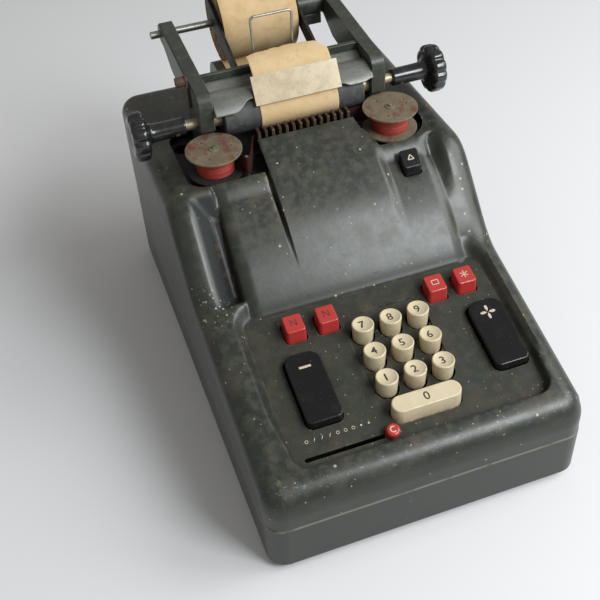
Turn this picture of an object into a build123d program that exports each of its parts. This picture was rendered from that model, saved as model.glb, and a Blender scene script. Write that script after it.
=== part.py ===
"""A ten-key electric printing adding machine of about 1955, as separate pieces.

Millimetres. The origin is the middle of the whole machine's footprint, on the surface it stands on.
+X is to the user's right, +Y is away from the user and +Z is up.
Distances called "from the front" are measured back from the front face of the base.
"""
from build123d import *
from math import asin, atan, atan2, cos, degrees, pi, radians, sin, sqrt
import os

os.makedirs("parts", exist_ok=True)

# ---------------------------------------------------------------- driving dimensions
body_width = 218.0
body_length = 352.0
foot_height = 4.0
pan_height = 38.0
pan_wall = 1.6
cover_wall = 2.4
corner_radius = 13.0
seam_gap = 0.3
seat_gap = 0.3              # between pieces that sit beside each other
running_clearance = 0.05    # radial, for a shaft in its bearing
loose_clearance = 0.8       # round a key where it passes the keyboard plate

keyboard_slope = 0.255      # rise per millimetre towards the back
lip_from_front = 18.0       # crest of the front roll
lip_height = 73.0           # its height above the floor
recess_depth = 6.5          # keyboard plate below the rim
deck_height = 156.5
deck_rear_height = 153.0
deck_from_front = 204.0
rim_foot_from_front = 142.0  # where the rim leaves the keyboard slope
recess_left = -82.0
recess_right = 91.5
recess_corner = 9.0
ledge_width = 1.4
plate_thickness = 1.5
recess_front = 20.0
plate_rear = 129.0

hump_left = -70.0
hump_right = 84.0
hump_edge_radius = 8.0
cowl_left = -33.0
cowl_right = 47.0
cowl_rear = 226.0           # from the front, like the three below
slot_rear = 276.0
cowl_rear_height = 167.0

key_pitch_x = 19.7
key_pitch_y = 20.0
key_block_x = 12.0
key_first_row = 57.0        # row of 1 2 3, from the front
key_top_radius = 7.5
key_foot_radius = 6.8
key_reach = 10.0            # key top above the plate
key_cap_height = 13.0
key_dish = 1.4
key_travel = 4.0
stem_radius = 1.8
stem_low = 34.0
guide_height = 44.0
zero_bar_length = 48.0
zero_bar_depth = 13.0
red_key_size = 14.6
red_key_row = 112.5
action_bar_width = 24.5
action_bar_length = 49.0
action_bar_middle = 69.0    # from the front
action_bar_reach = 5.5
minus_bar_x = -53.6
plus_bar_x = 76.8
feed_key_x = 64.5
feed_key_from_front = 185.0
feed_key_size = (13.6, 11.6)
slider_slot_from_front = 26.5
slider_slot_left = -75.0
slider_slot_right = -13.0
slider_slot_width = 3.0

spool_x = 65.2
spool_from_front = 222.8
spool_radius = 19.6
spool_low = 153.0
spool_deck_top = 149.5
spool_height = 17.5
flange_thickness = 1.2
winding_radius = 13.2
spool_hub_radius = 6.0
post_radius = 1.5
well_place = (64.0, 226.5)   # of the round well; x, and distance from the front
well_radius = 26.0

platen_from_front = 250.0
platen_height = 176.0
platen_radius = 14.0
platen_half = 51.5
platen_hub_radius = 5.5
platen_shaft_radius = 3.5
arm_inner = 58.5
arm_thickness = 10.5
knob_centre = 110.0
knob_radius = 17.3
knob_thickness = 12.0
knob_stem_radius = 6.3
knob_stem_inner = 77.5

paper_width = 57.5
paper_x = 2.8
paper_thickness = 0.3
roll_from_front = 345.0
roll_height = 197.5
roll_radius = 28.0
roll_core_radius = 9.0
axle_radius = 2.8
paper_gap = 0.3

comb_ribs = 14
comb_first = -31.0
type_pitch = 5.08
rib_thickness = 1.8
type_bar_thickness = 2.2
type_lift = 8.0

frame_x = 96.0              # middle of each side frame
frame_thickness = 2.0
gear_module = 1.0
pinion_teeth = 16
gear_teeth = 64
gear_width = 8.0
main_shaft_from_front = 268.0
main_shaft_height = 84.0
main_shaft_radius = 4.0
motor_radius = 30.0

# ---------------------------------------------------------------- what follows from them
overall_length = roll_from_front + roll_radius
front = -overall_length / 2
half_width = body_width / 2
seam_height = foot_height + pan_height + seam_gap
pan_bottom = foot_height
plate_front_top = lip_height - recess_depth + 0.5
plate_angle = atan(keyboard_slope)
frame_inner = frame_x - frame_thickness / 2
comb_last = comb_first + type_pitch * (comb_ribs - 1)
dish_radius = ((key_top_radius - 1) ** 2 + key_dish ** 2) / (2 * key_dish)


def from_front(distance):
    """Y of a point this far behind the front face."""
    return front + distance


def rim_top(distance):
    """Height of the side rim over the keyboard slope."""
    return lip_height + keyboard_slope * (distance - lip_from_front)


def plate_top(distance):
    """Height of the keyboard plate's upper face."""
    return plate_front_top + keyboard_slope * (distance - recess_front)


def plate_plane(x, distance):
    """A plane lying on the keyboard plate's upper face at this point."""
    return Plane(origin=(x, from_front(distance), plate_top(distance)), x_dir=(1, 0, 0),
                 z_dir=(0, -sin(plate_angle), cos(plate_angle)))


def polar_point(y, z, radius, angle):
    """The (Y, Z) point at this radius and angle in degrees from a centre."""
    return (y + radius * cos(radians(angle)), z + radius * sin(radians(angle)))


def save(piece, name):
    """Label a finished piece and write it to its own file."""
    piece.part.label = name
    export_step(piece.part, f"parts/{name}.step")


def prism(plane, points, amount, radius=None, mode=Mode.ADD):
    """Extrude a closed outline, its corners rounded where radii are given, in the current part."""
    with BuildSketch(plane) as outline:
        with BuildLine():
            if radius is None:
                Polyline(*points, close=True)
            else:
                FilletPolyline(*points, radius=radius, close=True)
        make_face()
    return extrude(outline.sketch, amount=amount, mode=mode)


def rod(x1, x2, distance, height, radius, mode=Mode.ADD):
    """A round bar along X, between two x positions."""
    with BuildSketch(Plane.YZ.offset(x1)) as end:
        with Locations((from_front(distance), height)):
            Circle(radius)
    return extrude(end.sketch, amount=x2 - x1, mode=mode)


def block(x_range, distances, heights, mode=Mode.ADD):
    """A rectangular block between two x, two distances from the front and two heights."""
    size = (x_range[1] - x_range[0], distances[1] - distances[0], heights[1] - heights[0])
    centre = (sum(x_range) / 2, from_front(sum(distances) / 2), sum(heights) / 2)
    with Locations(centre):
        Box(*size, mode=mode)


# ---------------------------------------------------------------- base pan and feet
foot_x = half_width - 24
foot_distances = (26.0, body_length - 28.0)
foot_radius = 9.0
foot_middle = from_front(sum(foot_distances) / 2)
foot_pitch = foot_distances[1] - foot_distances[0]
pan_middle = from_front(body_length / 2)
inlet_x = -58.0
inlet_size = (30.0, 22.0)
inlet_depth = 18.0
inlet_height = foot_height + 20.0

with BuildPart() as base_pan:
    with BuildSketch(Plane.XY.offset(pan_bottom)):
        with Locations((0, pan_middle)):
            RectangleRounded(body_width, body_length, corner_radius)
    extrude(amount=pan_height)
    fillet(base_pan.edges().group_by(Axis.Z)[0], 3)
    offset(amount=-pan_wall, openings=base_pan.faces().sort_by(Axis.Z)[-1])
    with Locations((0, foot_middle, pan_bottom)):
        with GridLocations(2 * foot_x, foot_pitch, 2, 2):
            Hole(2.2, depth=pan_wall * 3)
    # cooling slots under the motor
    with BuildSketch(Plane.XY.offset(pan_bottom)):
        with Locations((40, from_front(290))):
            with GridLocations(0, 9, 1, 7):
                SlotOverall(60, 3)
    extrude(amount=pan_wall * 2, mode=Mode.SUBTRACT)
    # opening for the power inlet in the rear wall
    block((inlet_x - inlet_size[0] / 2 - seat_gap, inlet_x + inlet_size[0] / 2 + seat_gap),
          (body_length - 3 * pan_wall, body_length + 1),
          (inlet_height - inlet_size[1] / 2 - seat_gap, inlet_height + inlet_size[1] / 2 + seat_gap),
          mode=Mode.SUBTRACT)
save(base_pan, "base_pan")

with BuildPart() as rubber_feet:
    with BuildSketch(Plane.XY):
        with Locations((0, foot_middle)):
            with GridLocations(2 * foot_x, foot_pitch, 2, 2):
                Circle(foot_radius)
    extrude(amount=foot_height, taper=-8)
    with BuildSketch(Plane.XY.offset(foot_height)):
        with Locations((0, foot_middle)):
            with GridLocations(2 * foot_x, foot_pitch, 2, 2):
                Circle(2.2 - seat_gap / 2)
    extrude(amount=pan_wall + 1)
save(rubber_feet, "rubber_feet")


# ---------------------------------------------------------------- top cover
def rim_body(inset):
    """The cover without recess or hump: a side outline across the width, its outer edges rounded."""
    low = seam_height - (1 if inset else 0)
    crest = lip_from_front - inset * 0.3
    points = [
        (from_front(inset), low),
        (from_front(inset + 1.5), rim_top(crest) - 3 - inset),
        (from_front(rim_foot_from_front + inset * 0.4), rim_top(rim_foot_from_front) - inset),
        (from_front(deck_from_front - 12 + inset * 0.8), deck_height - inset),
        (from_front(body_length - inset), deck_rear_height - inset),
        (from_front(body_length - inset), low),
    ]
    with BuildPart() as body:
        prism(Plane.YZ.offset(-half_width + inset), points, body_width - 2 * inset,
              radius=[0, 16 - inset, 34, 22, 16 - inset, 0])
        under = body.faces().sort_by(Axis.Z)[0].edges()
        outer = [e for e in body.faces().filter_by(Axis.X).edges() if e not in under]
        fillet(outer, corner_radius - inset)
    return body.part


def recess_cut(inset):
    """What is taken out over the keyboard plate and for the two channels beside the hump."""
    floor = plate_thickness + inset
    low = from_front(recess_front - inset)
    top = deck_height + 30
    points = [
        (low, plate_top(recess_front) - floor),
        (from_front(plate_rear), plate_top(plate_rear) - floor),
        (from_front(deck_from_front - 23 + inset), deck_height - 44 - inset),
        (from_front(deck_from_front + 9 + inset), top),
        (low, top),
    ]
    with BuildPart() as cut:
        prism(Plane.YZ.offset(recess_left - inset), points, recess_right - recess_left + 2 * inset,
              radius=[0, 0, 10, 0, 0])
        fillet(cut.faces().sort_by(Axis.Y)[0].edges().filter_by(Axis.Z), recess_corner + inset)
    return cut.part


def hump_body(inset, left, right, rear, rear_height, bulge, edge_radius):
    """A barrel over the printing works: an arc from the plate's rear edge up to its own rear edge."""
    low = plate_top(plate_rear) - 6
    start = (from_front(plate_rear + inset), plate_top(plate_rear) - (3 if inset else 0))
    end = (from_front(rear), rear_height - inset)
    middle = (
        (start[0] + end[0]) / 2 - bulge * 0.6 + inset * 0.4,
        (start[1] + end[1]) / 2 + bulge * 0.8 - inset * 0.4,
    )
    with BuildPart() as barrel:
        with BuildSketch(Plane.YZ.offset(left + inset)) as outline:
            with BuildLine():
                Polyline(start, (start[0], low), (end[0], low), end)
                ThreePointArc(end, middle, start)
            make_face()
        extrude(outline.sketch, amount=right - left - 2 * inset)
        if inset == 0:
            crown = barrel.faces().filter_by(GeomType.CYLINDER).edges().filter_by(GeomType.CIRCLE)
            fillet(crown, edge_radius)
    return barrel.part


def cover_form(inset):
    """The outer form of the cover, or its inside when drawn one wall smaller."""
    shoulder = hump_body(inset, hump_left, hump_right, deck_from_front - 1, deck_height - 0.6, 6.5,
                         hump_edge_radius)
    cowl = hump_body(inset, cowl_left, cowl_right, cowl_rear, cowl_rear_height, 9.0, 2.5)
    return rim_body(inset) - recess_cut(inset) + shoulder + cowl


with BuildPart() as top_cover:
    add(cover_form(0))
    add(cover_form(cover_wall), mode=Mode.SUBTRACT)
    # opening under the keyboard plate, which rests on the ledge left round it
    with BuildSketch(Plane.XY.offset(seam_height)):
        with Locations(((recess_left + recess_right) / 2, from_front((recess_front + plate_rear) / 2))):
            RectangleRounded(recess_right - recess_left - 2 * ledge_width,
                             plate_rear - recess_front - 2 * ledge_width, recess_corner - ledge_width)
    extrude(amount=plate_top(plate_rear) - seam_height, mode=Mode.SUBTRACT)
    # wells for the spools, slot for the type comb and platen, notches for the ribbon and the arms
    with BuildSketch(Plane.XY.offset(deck_height - 12)):
        with Locations((-64, from_front(239))):
            RectangleRounded(48, 73, 12)
        with Locations((well_place[0], from_front(well_place[1]))):
            Circle(well_radius)
        with Locations((0, from_front((cowl_rear - 0.2 + slot_rear) / 2))):
            Rectangle(2 * (arm_inner + arm_thickness) + 6, slot_rear - cowl_rear + 0.2)
        with Locations(((cowl_left - 49) / 2, from_front(218))):
            Rectangle(cowl_left + 49, 30)
        with Locations((cowl_right + 5.2, from_front(214))):
            Rectangle(9.6, 26)
    extrude(amount=40, mode=Mode.SUBTRACT)
    # hole for the feed key
    with BuildSketch(Plane.XY.offset(plate_top(plate_rear))):
        with Locations((feed_key_x, from_front(feed_key_from_front))):
            RectangleRounded(feed_key_size[0] + 0.8, feed_key_size[1] + 0.8, 2.4)
    extrude(amount=60, mode=Mode.SUBTRACT)
save(top_cover, "top_cover")


# ---------------------------------------------------------------- keyboard plate and guide plate
digit_places = {
    1 + 3 * row + column: (key_block_x + key_pitch_x * (column - 1), key_first_row + key_pitch_y * row)
    for row in range(3)
    for column in range(3)
}
zero_place = (key_block_x - 1, key_first_row - key_pitch_y + 0.5)
red_keys = {
    "key_repeat": -50.4,
    "key_non_add": -27.5,
    "key_subtotal": 51.4,
    "key_total": 73.1,
}
action_bars = {"minus_bar": minus_bar_x, "plus_bar": plus_bar_x}
bar_stem_offset = action_bar_length / 2 - 10
stem_places = (
    list(digit_places.values())
    + [(zero_place[0] - 14, zero_place[1]), (zero_place[0] + 14, zero_place[1])]
    + [(x, red_key_row) for x in red_keys.values()]
    + [(x, action_bar_middle + side * bar_stem_offset) for x in action_bars.values() for side in (-1, 1)]
)

with BuildPart() as keyboard_plate:
    with BuildSketch(plate_plane((recess_left + recess_right) / 2, (recess_front + plate_rear) / 2)) as sheet:
        Rectangle(recess_right - recess_left - 2 * seat_gap,
                  (plate_rear - recess_front - 2 * seat_gap - plate_thickness * keyboard_slope * 2)
                  / cos(plate_angle))
        fillet(sheet.vertices().sort_by(Axis.Y)[:2], recess_corner - seat_gap)
    extrude(amount=-plate_thickness * cos(plate_angle))
    # shallow trough round the digit keys
    with BuildSketch(plate_plane(key_block_x - 1, key_first_row + key_pitch_y + 4)):
        RectangleRounded(57, 67, 9)
    extrude(amount=-0.7, mode=Mode.SUBTRACT)
    with Locations([(x, from_front(d), plate_top(d)) for x, d in digit_places.values()]):
        Cylinder(key_top_radius + loose_clearance, 20, mode=Mode.SUBTRACT)
    with BuildSketch(Plane.XY.offset(seam_height)):
        with Locations((zero_place[0], from_front(zero_place[1]))):
            SlotOverall(zero_bar_length + 2 * loose_clearance, zero_bar_depth + 2 * loose_clearance)
        with Locations([(x, from_front(red_key_row)) for x in red_keys.values()]):
            RectangleRounded(red_key_size + 2 * loose_clearance, red_key_size + 2 * loose_clearance, 3)
        with Locations([(x, from_front(action_bar_middle)) for x in action_bars.values()]):
            RectangleRounded(action_bar_width + 2 * loose_clearance,
                             action_bar_length + 2 * loose_clearance, 5.5)
    extrude(amount=80, mode=Mode.SUBTRACT)
    # slot for the correction slider
    with BuildSketch(plate_plane((slider_slot_left + slider_slot_right) / 2, slider_slot_from_front)):
        SlotOverall(slider_slot_right - slider_slot_left, slider_slot_width)
    extrude(amount=-5, mode=Mode.SUBTRACT)
save(keyboard_plate, "keyboard_plate")

with BuildPart() as key_guide_plate:
    block((-frame_inner, frame_inner), (30, 126), (guide_height, guide_height + 2))
    with Locations([(x, from_front(d), guide_height) for x, d in stem_places]):
        Hole(stem_radius + running_clearance, depth=10)
    fillet(key_guide_plate.edges().filter_by(Axis.Z).sort_by(Axis.Y)[-2:], 6)
save(key_guide_plate, "key_guide_plate")


# ---------------------------------------------------------------- keys
def stems(places, top):
    """Round stems from the caps down through the guide plate."""
    with Locations([(x, from_front(d), stem_low) for x, d in places]):
        Cylinder(stem_radius, top - stem_low, align=(Align.CENTER, Align.CENTER, Align.MIN))


for digit, (x, distance) in digit_places.items():
    cap_top = plate_top(distance) + key_reach
    cap_foot = cap_top - key_cap_height
    with BuildPart() as digit_key:
        with Locations((x, from_front(distance), cap_foot)):
            Cone(key_foot_radius, key_top_radius, key_cap_height,
                 align=(Align.CENTER, Align.CENTER, Align.MIN))
        fillet(digit_key.faces().sort_by(Axis.Z)[-1].edges(), 0.8)
        with Locations((x, from_front(distance), cap_top + dish_radius - key_dish)):
            Sphere(dish_radius, mode=Mode.SUBTRACT)
        stems([(x, distance)], cap_foot + 1)
    save(digit_key, f"key_{digit}")

zero_top = plate_top(zero_place[1]) + key_reach
with BuildPart() as key_0:
    with BuildSketch(Plane.XY.offset(zero_top - key_cap_height)):
        with Locations((zero_place[0], from_front(zero_place[1]))):
            SlotOverall(zero_bar_length, zero_bar_depth)
    extrude(amount=key_cap_height + 2, taper=1.5)
    split(bisect_by=Plane(origin=(0, from_front(zero_place[1]), zero_top - 0.5), x_dir=(1, 0, 0),
                          z_dir=(0, -sin(radians(9)), cos(radians(9)))), keep=Keep.BOTTOM)
    fillet(key_0.faces().sort_by(Axis.Z)[-1].edges(), 0.9)
    stems([(zero_place[0] - 14, zero_place[1]), (zero_place[0] + 14, zero_place[1])],
          zero_top - key_cap_height + 1)
save(key_0, "key_0")

for name, x in red_keys.items():
    cap_top = plate_top(red_key_row) + 9.0
    cap_foot = cap_top - 12
    with BuildPart() as red_key:
        with BuildSketch(Plane.XY.offset(cap_foot)):
            with Locations((x, from_front(red_key_row))):
                RectangleRounded(red_key_size, red_key_size, 2.5)
        extrude(amount=16, taper=4)
        split(bisect_by=Plane(origin=(x, from_front(red_key_row), cap_top), x_dir=(1, 0, 0),
                              z_dir=(0, -sin(plate_angle), cos(plate_angle))), keep=Keep.BOTTOM)
        fillet(red_key.faces().sort_by(Axis.Z)[-1].edges(), 1.0)
        stems([(x, red_key_row)], cap_foot + 1)
    save(red_key, name)

bar_front = action_bar_middle - action_bar_length / 2
bar_rear = action_bar_middle + action_bar_length / 2
for name, x in action_bars.items():
    bar_outline = [
        (from_front(bar_front), plate_top(bar_front) - 3),
        (from_front(bar_front), plate_top(bar_front) + action_bar_reach),
        (from_front(bar_rear), plate_top(bar_rear) + action_bar_reach),
        (from_front(bar_rear), plate_top(bar_rear) - 3),
    ]
    with BuildPart() as action_bar:
        prism(Plane.YZ.offset(x - action_bar_width / 2), bar_outline, action_bar_width)
        fillet(action_bar.edges().filter_by(Axis.Z).sort_by(Axis.Y)[-2:], 8)
        fillet(action_bar.edges().filter_by(Axis.Z).sort_by(Axis.Y)[:2], 4)
        fillet(action_bar.faces().sort_by(Axis.Z)[-1].edges(), 1.2)
        stems([(x, action_bar_middle - bar_stem_offset), (x, action_bar_middle + bar_stem_offset)],
              plate_top(bar_front) - 1)
    save(action_bar, name)

feed_top = deck_height - 5.0
with BuildPart() as feed_key:
    with BuildSketch(Plane.XY.offset(feed_top - 24)):
        with Locations((feed_key_x, from_front(feed_key_from_front))):
            RectangleRounded(*feed_key_size, 2)
    extrude(amount=30)
    split(bisect_by=Plane(origin=(0, from_front(feed_key_from_front), feed_top), x_dir=(1, 0, 0),
                          z_dir=(0, -sin(radians(34)), cos(radians(34)))), keep=Keep.BOTTOM)
    fillet(feed_key.faces().sort_by(Axis.Z)[-1].edges(), 0.8)
    with Locations((feed_key_x, from_front(feed_key_from_front), feed_top - 23)):
        Cylinder(stem_radius, 20, align=(Align.CENTER, Align.CENTER, Align.MAX))
save(feed_key, "feed_key")

slider_x = slider_slot_right - 4
with BuildPart() as correction_slider:
    slider_plane = plate_plane(slider_x, slider_slot_from_front)
    under_plate = plate_thickness * cos(plate_angle) + seat_gap
    with BuildSketch(slider_plane.offset(-under_plate)):
        RectangleRounded(9, 6, 1)
    extrude(amount=-1.2)
    with BuildSketch(slider_plane.offset(-under_plate - 0.5)):
        Rectangle(5, slider_slot_width - 2 * seat_gap)
    extrude(amount=under_plate + 3)
    with BuildSketch(slider_plane.offset(1.5)):
        Circle(4.6)
    extrude(amount=5)
    fillet(correction_slider.faces().sort_by(Axis.Z)[-1].edges(), 2.0)
save(correction_slider, "correction_slider")


# ---------------------------------------------------------------- frames, rods and spool deck
yoke_heights = (104.0, 112.0)
type_bar_front = 227.2
type_bar_rear = 232.5
floor_height = pan_bottom + pan_wall
totalizer_place = (205.0, 114.0)
frame_outline = [(30, floor_height), (30, 66), (143, 94), (198, spool_deck_top), (335, spool_deck_top),
                 (335, floor_height)]

for name, side in (("side_frame_left", -1), ("side_frame_right", 1)):
    with BuildPart() as side_frame:
        prism(Plane.YZ.offset(side * frame_x - frame_thickness / 2),
              [(from_front(d), z) for d, z in frame_outline], frame_thickness)
        bearing = (side * frame_x - 5, side * frame_x + 5)
        rod(*bearing, main_shaft_from_front, main_shaft_height, main_shaft_radius + running_clearance,
            mode=Mode.SUBTRACT)
        rod(*bearing, *totalizer_place, 2.5 + running_clearance, mode=Mode.SUBTRACT)
        block(bearing, (type_bar_front - seat_gap, type_bar_rear + seat_gap),
              (yoke_heights[0] - seat_gap, yoke_heights[1] + type_lift + seat_gap), mode=Mode.SUBTRACT)
        # lightening holes
        for distance, height, radius in ((92, 36, 14), (110, 66, 10), (205, 60, 17), (310, 45, 17)):
            rod(*bearing, distance, height, radius, mode=Mode.SUBTRACT)
    save(side_frame, name)

with BuildPart() as frame_rods:
    for distance, height in ((60, 22), (137, 30), (245, 22), (322, 132)):
        rod(-frame_inner, frame_inner, distance, height, 3)
save(frame_rods, "frame_rods")

with BuildPart() as spool_deck:
    block((-frame_inner, frame_inner), (202, 278), (spool_deck_top - 2, spool_deck_top))
    block((comb_first - 2, comb_last + 2), (type_bar_front - 0.6, type_bar_rear + 1.0),
          (spool_deck_top - 3, spool_deck_top + 1), mode=Mode.SUBTRACT)
    for side in (-1, 1):
        with Locations((side * 80, from_front(262), spool_deck_top)):
            Hole(6, depth=5)
save(spool_deck, "spool_deck")

ribbon_guide = (-46.3, 208.4)
with BuildPart() as spool_posts:
    for side in (-1, 1):
        with Locations((side * spool_x, from_front(spool_from_front), spool_deck_top)):
            Cylinder(post_radius, spool_low + spool_height + 2 - spool_deck_top,
                     align=(Align.CENTER, Align.CENTER, Align.MIN))
            Cylinder(4, spool_low - seat_gap - spool_deck_top, align=(Align.CENTER, Align.CENTER, Align.MIN))
    with Locations((ribbon_guide[0], from_front(ribbon_guide[1]), spool_deck_top)):
        Cylinder(1.2, 19, align=(Align.CENTER, Align.CENTER, Align.MIN))
save(spool_posts, "spool_posts")


# ---------------------------------------------------------------- ribbon
upright = (Align.CENTER, Align.CENTER, Align.MIN)
for name, side in (("left", -1), ("right", 1)):
    spool_axis = (side * spool_x, from_front(spool_from_front), spool_low)
    with BuildPart() as ribbon_spool:
        with Locations(spool_axis):
            Cylinder(spool_radius, flange_thickness, align=upright)
            Cylinder(spool_hub_radius, spool_height, align=upright)
        with Locations((spool_axis[0], spool_axis[1], spool_low + spool_height - flange_thickness)):
            Cylinder(spool_radius, flange_thickness, align=upright)
            Cylinder(3.4, flange_thickness + 0.7, align=upright)
            with PolarLocations(12.0, 3):
                Hole(0.9, depth=flange_thickness + 1)
        with Locations(spool_axis):
            Cylinder(post_radius + running_clearance, spool_height * 2 + 4, mode=Mode.SUBTRACT)
    save(ribbon_spool, f"ribbon_spool_{name}")

    with BuildPart() as ribbon_pack:
        with Locations((spool_axis[0], spool_axis[1], spool_low + flange_thickness + seat_gap)):
            Cylinder(winding_radius, spool_height - 2 * flange_thickness - 2 * seat_gap, align=upright)
            Cylinder(spool_hub_radius, spool_height, align=upright, mode=Mode.SUBTRACT)
    save(ribbon_pack, f"ribbon_pack_{name}")

ribbon_reach = winding_radius + seat_gap + 0.2
ribbon_left_end = polar_point(-spool_x, spool_from_front, ribbon_reach, 17.6)
ribbon_right_end = polar_point(spool_x, spool_from_front, ribbon_reach, 94.6)
ribbon_path = [
    ribbon_left_end, (ribbon_guide[0] - 1.9, ribbon_guide[1] + 0.2),
    (ribbon_guide[0] - 0.6, ribbon_guide[1] - 2.0), (ribbon_guide[0] + 1.7, ribbon_guide[1] - 1.2),
    (-38, 222), (-34.2, 234.6), (41, 234.6), ribbon_right_end,
]
with BuildPart() as ribbon_run:
    with BuildSketch(Plane.XY.offset(spool_low + 2.5)):
        with BuildLine() as run_line:
            Polyline(*[(x, from_front(d)) for x, d in ribbon_path])
        trace(run_line.line, line_width=0.4)
    extrude(amount=13)
save(ribbon_run, "ribbon_run")


# ---------------------------------------------------------------- type comb and type bars
with BuildPart() as type_comb:
    block((cowl_left + cover_wall + seat_gap, comb_last + 3), (219, cowl_rear + 0.5), (spool_deck_top, 157))
    block((comb_first - 2, comb_last + 3), (cowl_rear + seat_gap, type_bar_front - seat_gap),
          (spool_deck_top, 157))
    for rib in range(comb_ribs):
        middle = comb_first + type_pitch * rib
        rib_sides = (middle - rib_thickness / 2, middle + rib_thickness / 2)
        block(rib_sides, (cowl_rear + 0.4, type_bar_rear + 0.9), (spool_deck_top + 1, 172))
save(type_comb, "type_comb")

with BuildPart() as type_bars:
    block((-frame_x - 0.5, frame_x + 0.5), (type_bar_front, type_bar_rear), yoke_heights)
    for bar in range(comb_ribs - 1):
        middle = comb_first + type_pitch * (bar + 0.5)
        block((middle - type_bar_thickness / 2, middle + type_bar_thickness / 2),
              (type_bar_front, type_bar_rear), (yoke_heights[0], 164))
save(type_bars, "type_bars")


# ---------------------------------------------------------------- drive, totalizer and pin carriage
def gear_outline(teeth, phase):
    """Corner points of a gear with straight-sided teeth, its first tooth turned by this many degrees."""
    root = gear_module * (teeth - 2.5) / 2
    tip = gear_module * (teeth + 2) / 2
    points = []
    for tooth in range(teeth):
        for radius, share in ((root, -0.28), (tip, -0.13), (tip, 0.13), (root, 0.28)):
            angle = radians(phase) + 2 * pi * (tooth + share) / teeth
            points.append((radius * cos(angle), radius * sin(angle)))
    return points


gear_left = 20.0
axis_distance = gear_module * (pinion_teeth + gear_teeth) / 2
motor_from_front = main_shaft_from_front + axis_distance
motor_left = -75.0
motor_right = 14.0

with BuildPart() as main_gear:
    with BuildSketch(Plane.YZ.offset(gear_left)):
        with Locations((from_front(main_shaft_from_front), main_shaft_height)):
            Polygon(*gear_outline(gear_teeth, 0), align=None)
            Circle(main_shaft_radius + running_clearance, mode=Mode.SUBTRACT)
            with PolarLocations(19, 5):
                Circle(7, mode=Mode.SUBTRACT)
    extrude(amount=gear_width)
save(main_gear, "main_gear")

with BuildPart() as main_shaft:
    rod(-frame_x - 4, frame_x + 4, main_shaft_from_front, main_shaft_height, main_shaft_radius)
    for cam in (-80, -62, -20, 60, 78):
        rod(cam, cam + 5, main_shaft_from_front + 1.5, main_shaft_height, 7)
    rod(gear_left - 2.3, gear_left - seat_gap, main_shaft_from_front, main_shaft_height, 7)
save(main_shaft, "main_shaft")

with BuildPart() as motor:
    rod(motor_left, motor_right, motor_from_front, main_shaft_height, motor_radius)
    fillet(motor.edges().filter_by(GeomType.CIRCLE), 4)
    for foot_left in (-68, -12):
        block((foot_left, foot_left + 18), (motor_from_front - 18, motor_from_front + 18),
              (floor_height, main_shaft_height - 16))
    rod(motor_right - 12, motor_right + 1, motor_from_front, main_shaft_height, 3 + running_clearance,
        mode=Mode.SUBTRACT)
    # bands of the winding showing between the end shells
    for band in (-58, -8):
        with BuildSketch(Plane.YZ.offset(band)) as ring:
            with Locations((from_front(motor_from_front), main_shaft_height)):
                Circle(motor_radius + 1)
                Circle(motor_radius - 1.5, mode=Mode.SUBTRACT)
        extrude(ring.sketch, amount=3, mode=Mode.SUBTRACT)
save(motor, "motor")

with BuildPart() as motor_shaft:
    rod(motor_right - 11, gear_left + gear_width + 4, motor_from_front, main_shaft_height, 3)
    with BuildSketch(Plane.YZ.offset(gear_left)):
        with Locations((from_front(motor_from_front), main_shaft_height)):
            Polygon(*gear_outline(pinion_teeth, 180 + 180 / pinion_teeth), align=None)
    extrude(amount=gear_width)
save(motor_shaft, "motor_shaft")

with BuildPart() as totalizer:
    rod(-frame_x - 3, frame_x + 3, *totalizer_place, 2.5)
    for wheel in range(comb_ribs - 2):
        middle = comb_first + type_pitch * (wheel + 1)
        rod(middle - 1.9, middle + 1.9, *totalizer_place, 11)
save(totalizer, "totalizer")

rail_distances = (150.0, 180.0)
rail_height = 56.0
with BuildPart() as carriage_rails:
    for distance in rail_distances:
        rod(-frame_inner, frame_inner, distance, rail_height, 3)
save(carriage_rails, "carriage_rails")

with BuildPart() as pin_carriage:
    block((-10, 60), (140, 190), (49, 78))
    for distance in rail_distances:
        rod(-11, 61, distance, rail_height, 3 + running_clearance, mode=Mode.SUBTRACT)
    block((-6, 56), (156, 174), (48, 66), mode=Mode.SUBTRACT)
    with BuildSketch(Plane.XY.offset(77)):
        with Locations((25, from_front(165))):
            with GridLocations(type_pitch, 4.4, 11, 10):
                Rectangle(1.8, 1.8)
    extrude(amount=6)
save(pin_carriage, "pin_carriage")

with BuildPart() as power_inlet:
    inlet_sides = (inlet_x - inlet_size[0] / 2, inlet_x + inlet_size[0] / 2)
    inlet_ends = (inlet_height - inlet_size[1] / 2, inlet_height + inlet_size[1] / 2)
    block(inlet_sides, (body_length - inlet_depth, body_length + 0.5), inlet_ends)
    fillet(power_inlet.edges().filter_by(Axis.Y), 2)
    block((inlet_x - 12, inlet_x + 12), (body_length - 12, body_length + 1),
          (inlet_height - 7, inlet_height + 7), mode=Mode.SUBTRACT)
    with BuildSketch(Plane.XZ.offset(-from_front(body_length - 13))):
        with Locations((inlet_x, inlet_height)):
            with GridLocations(14, 0, 2, 1):
                Circle(2)
    extrude(amount=-10)
save(power_inlet, "power_inlet")


# ---------------------------------------------------------------- carriage: arms, platen, knobs
platen_y = from_front(platen_from_front)
axle_y = from_front(roll_from_front)
arm_outline = [
    (256, spool_deck_top), (256, 166), (244.3, 166), (243.4, 171.4), (240, 172.5), (239, 201),
    (266, 201), (roll_from_front - 6, 205),
    (roll_from_front + 7.5, 205), (roll_from_front + 7.5, 190), (338, 190), (318, 180), (272, 176),
    (272, spool_deck_top),
]
arm_radii = [0, 3, 2, 1, 2, 9, 12, 0, 7.3, 7.3, 6, 20, 6, 0]
lever_place = (262.0, 186.0)

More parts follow.
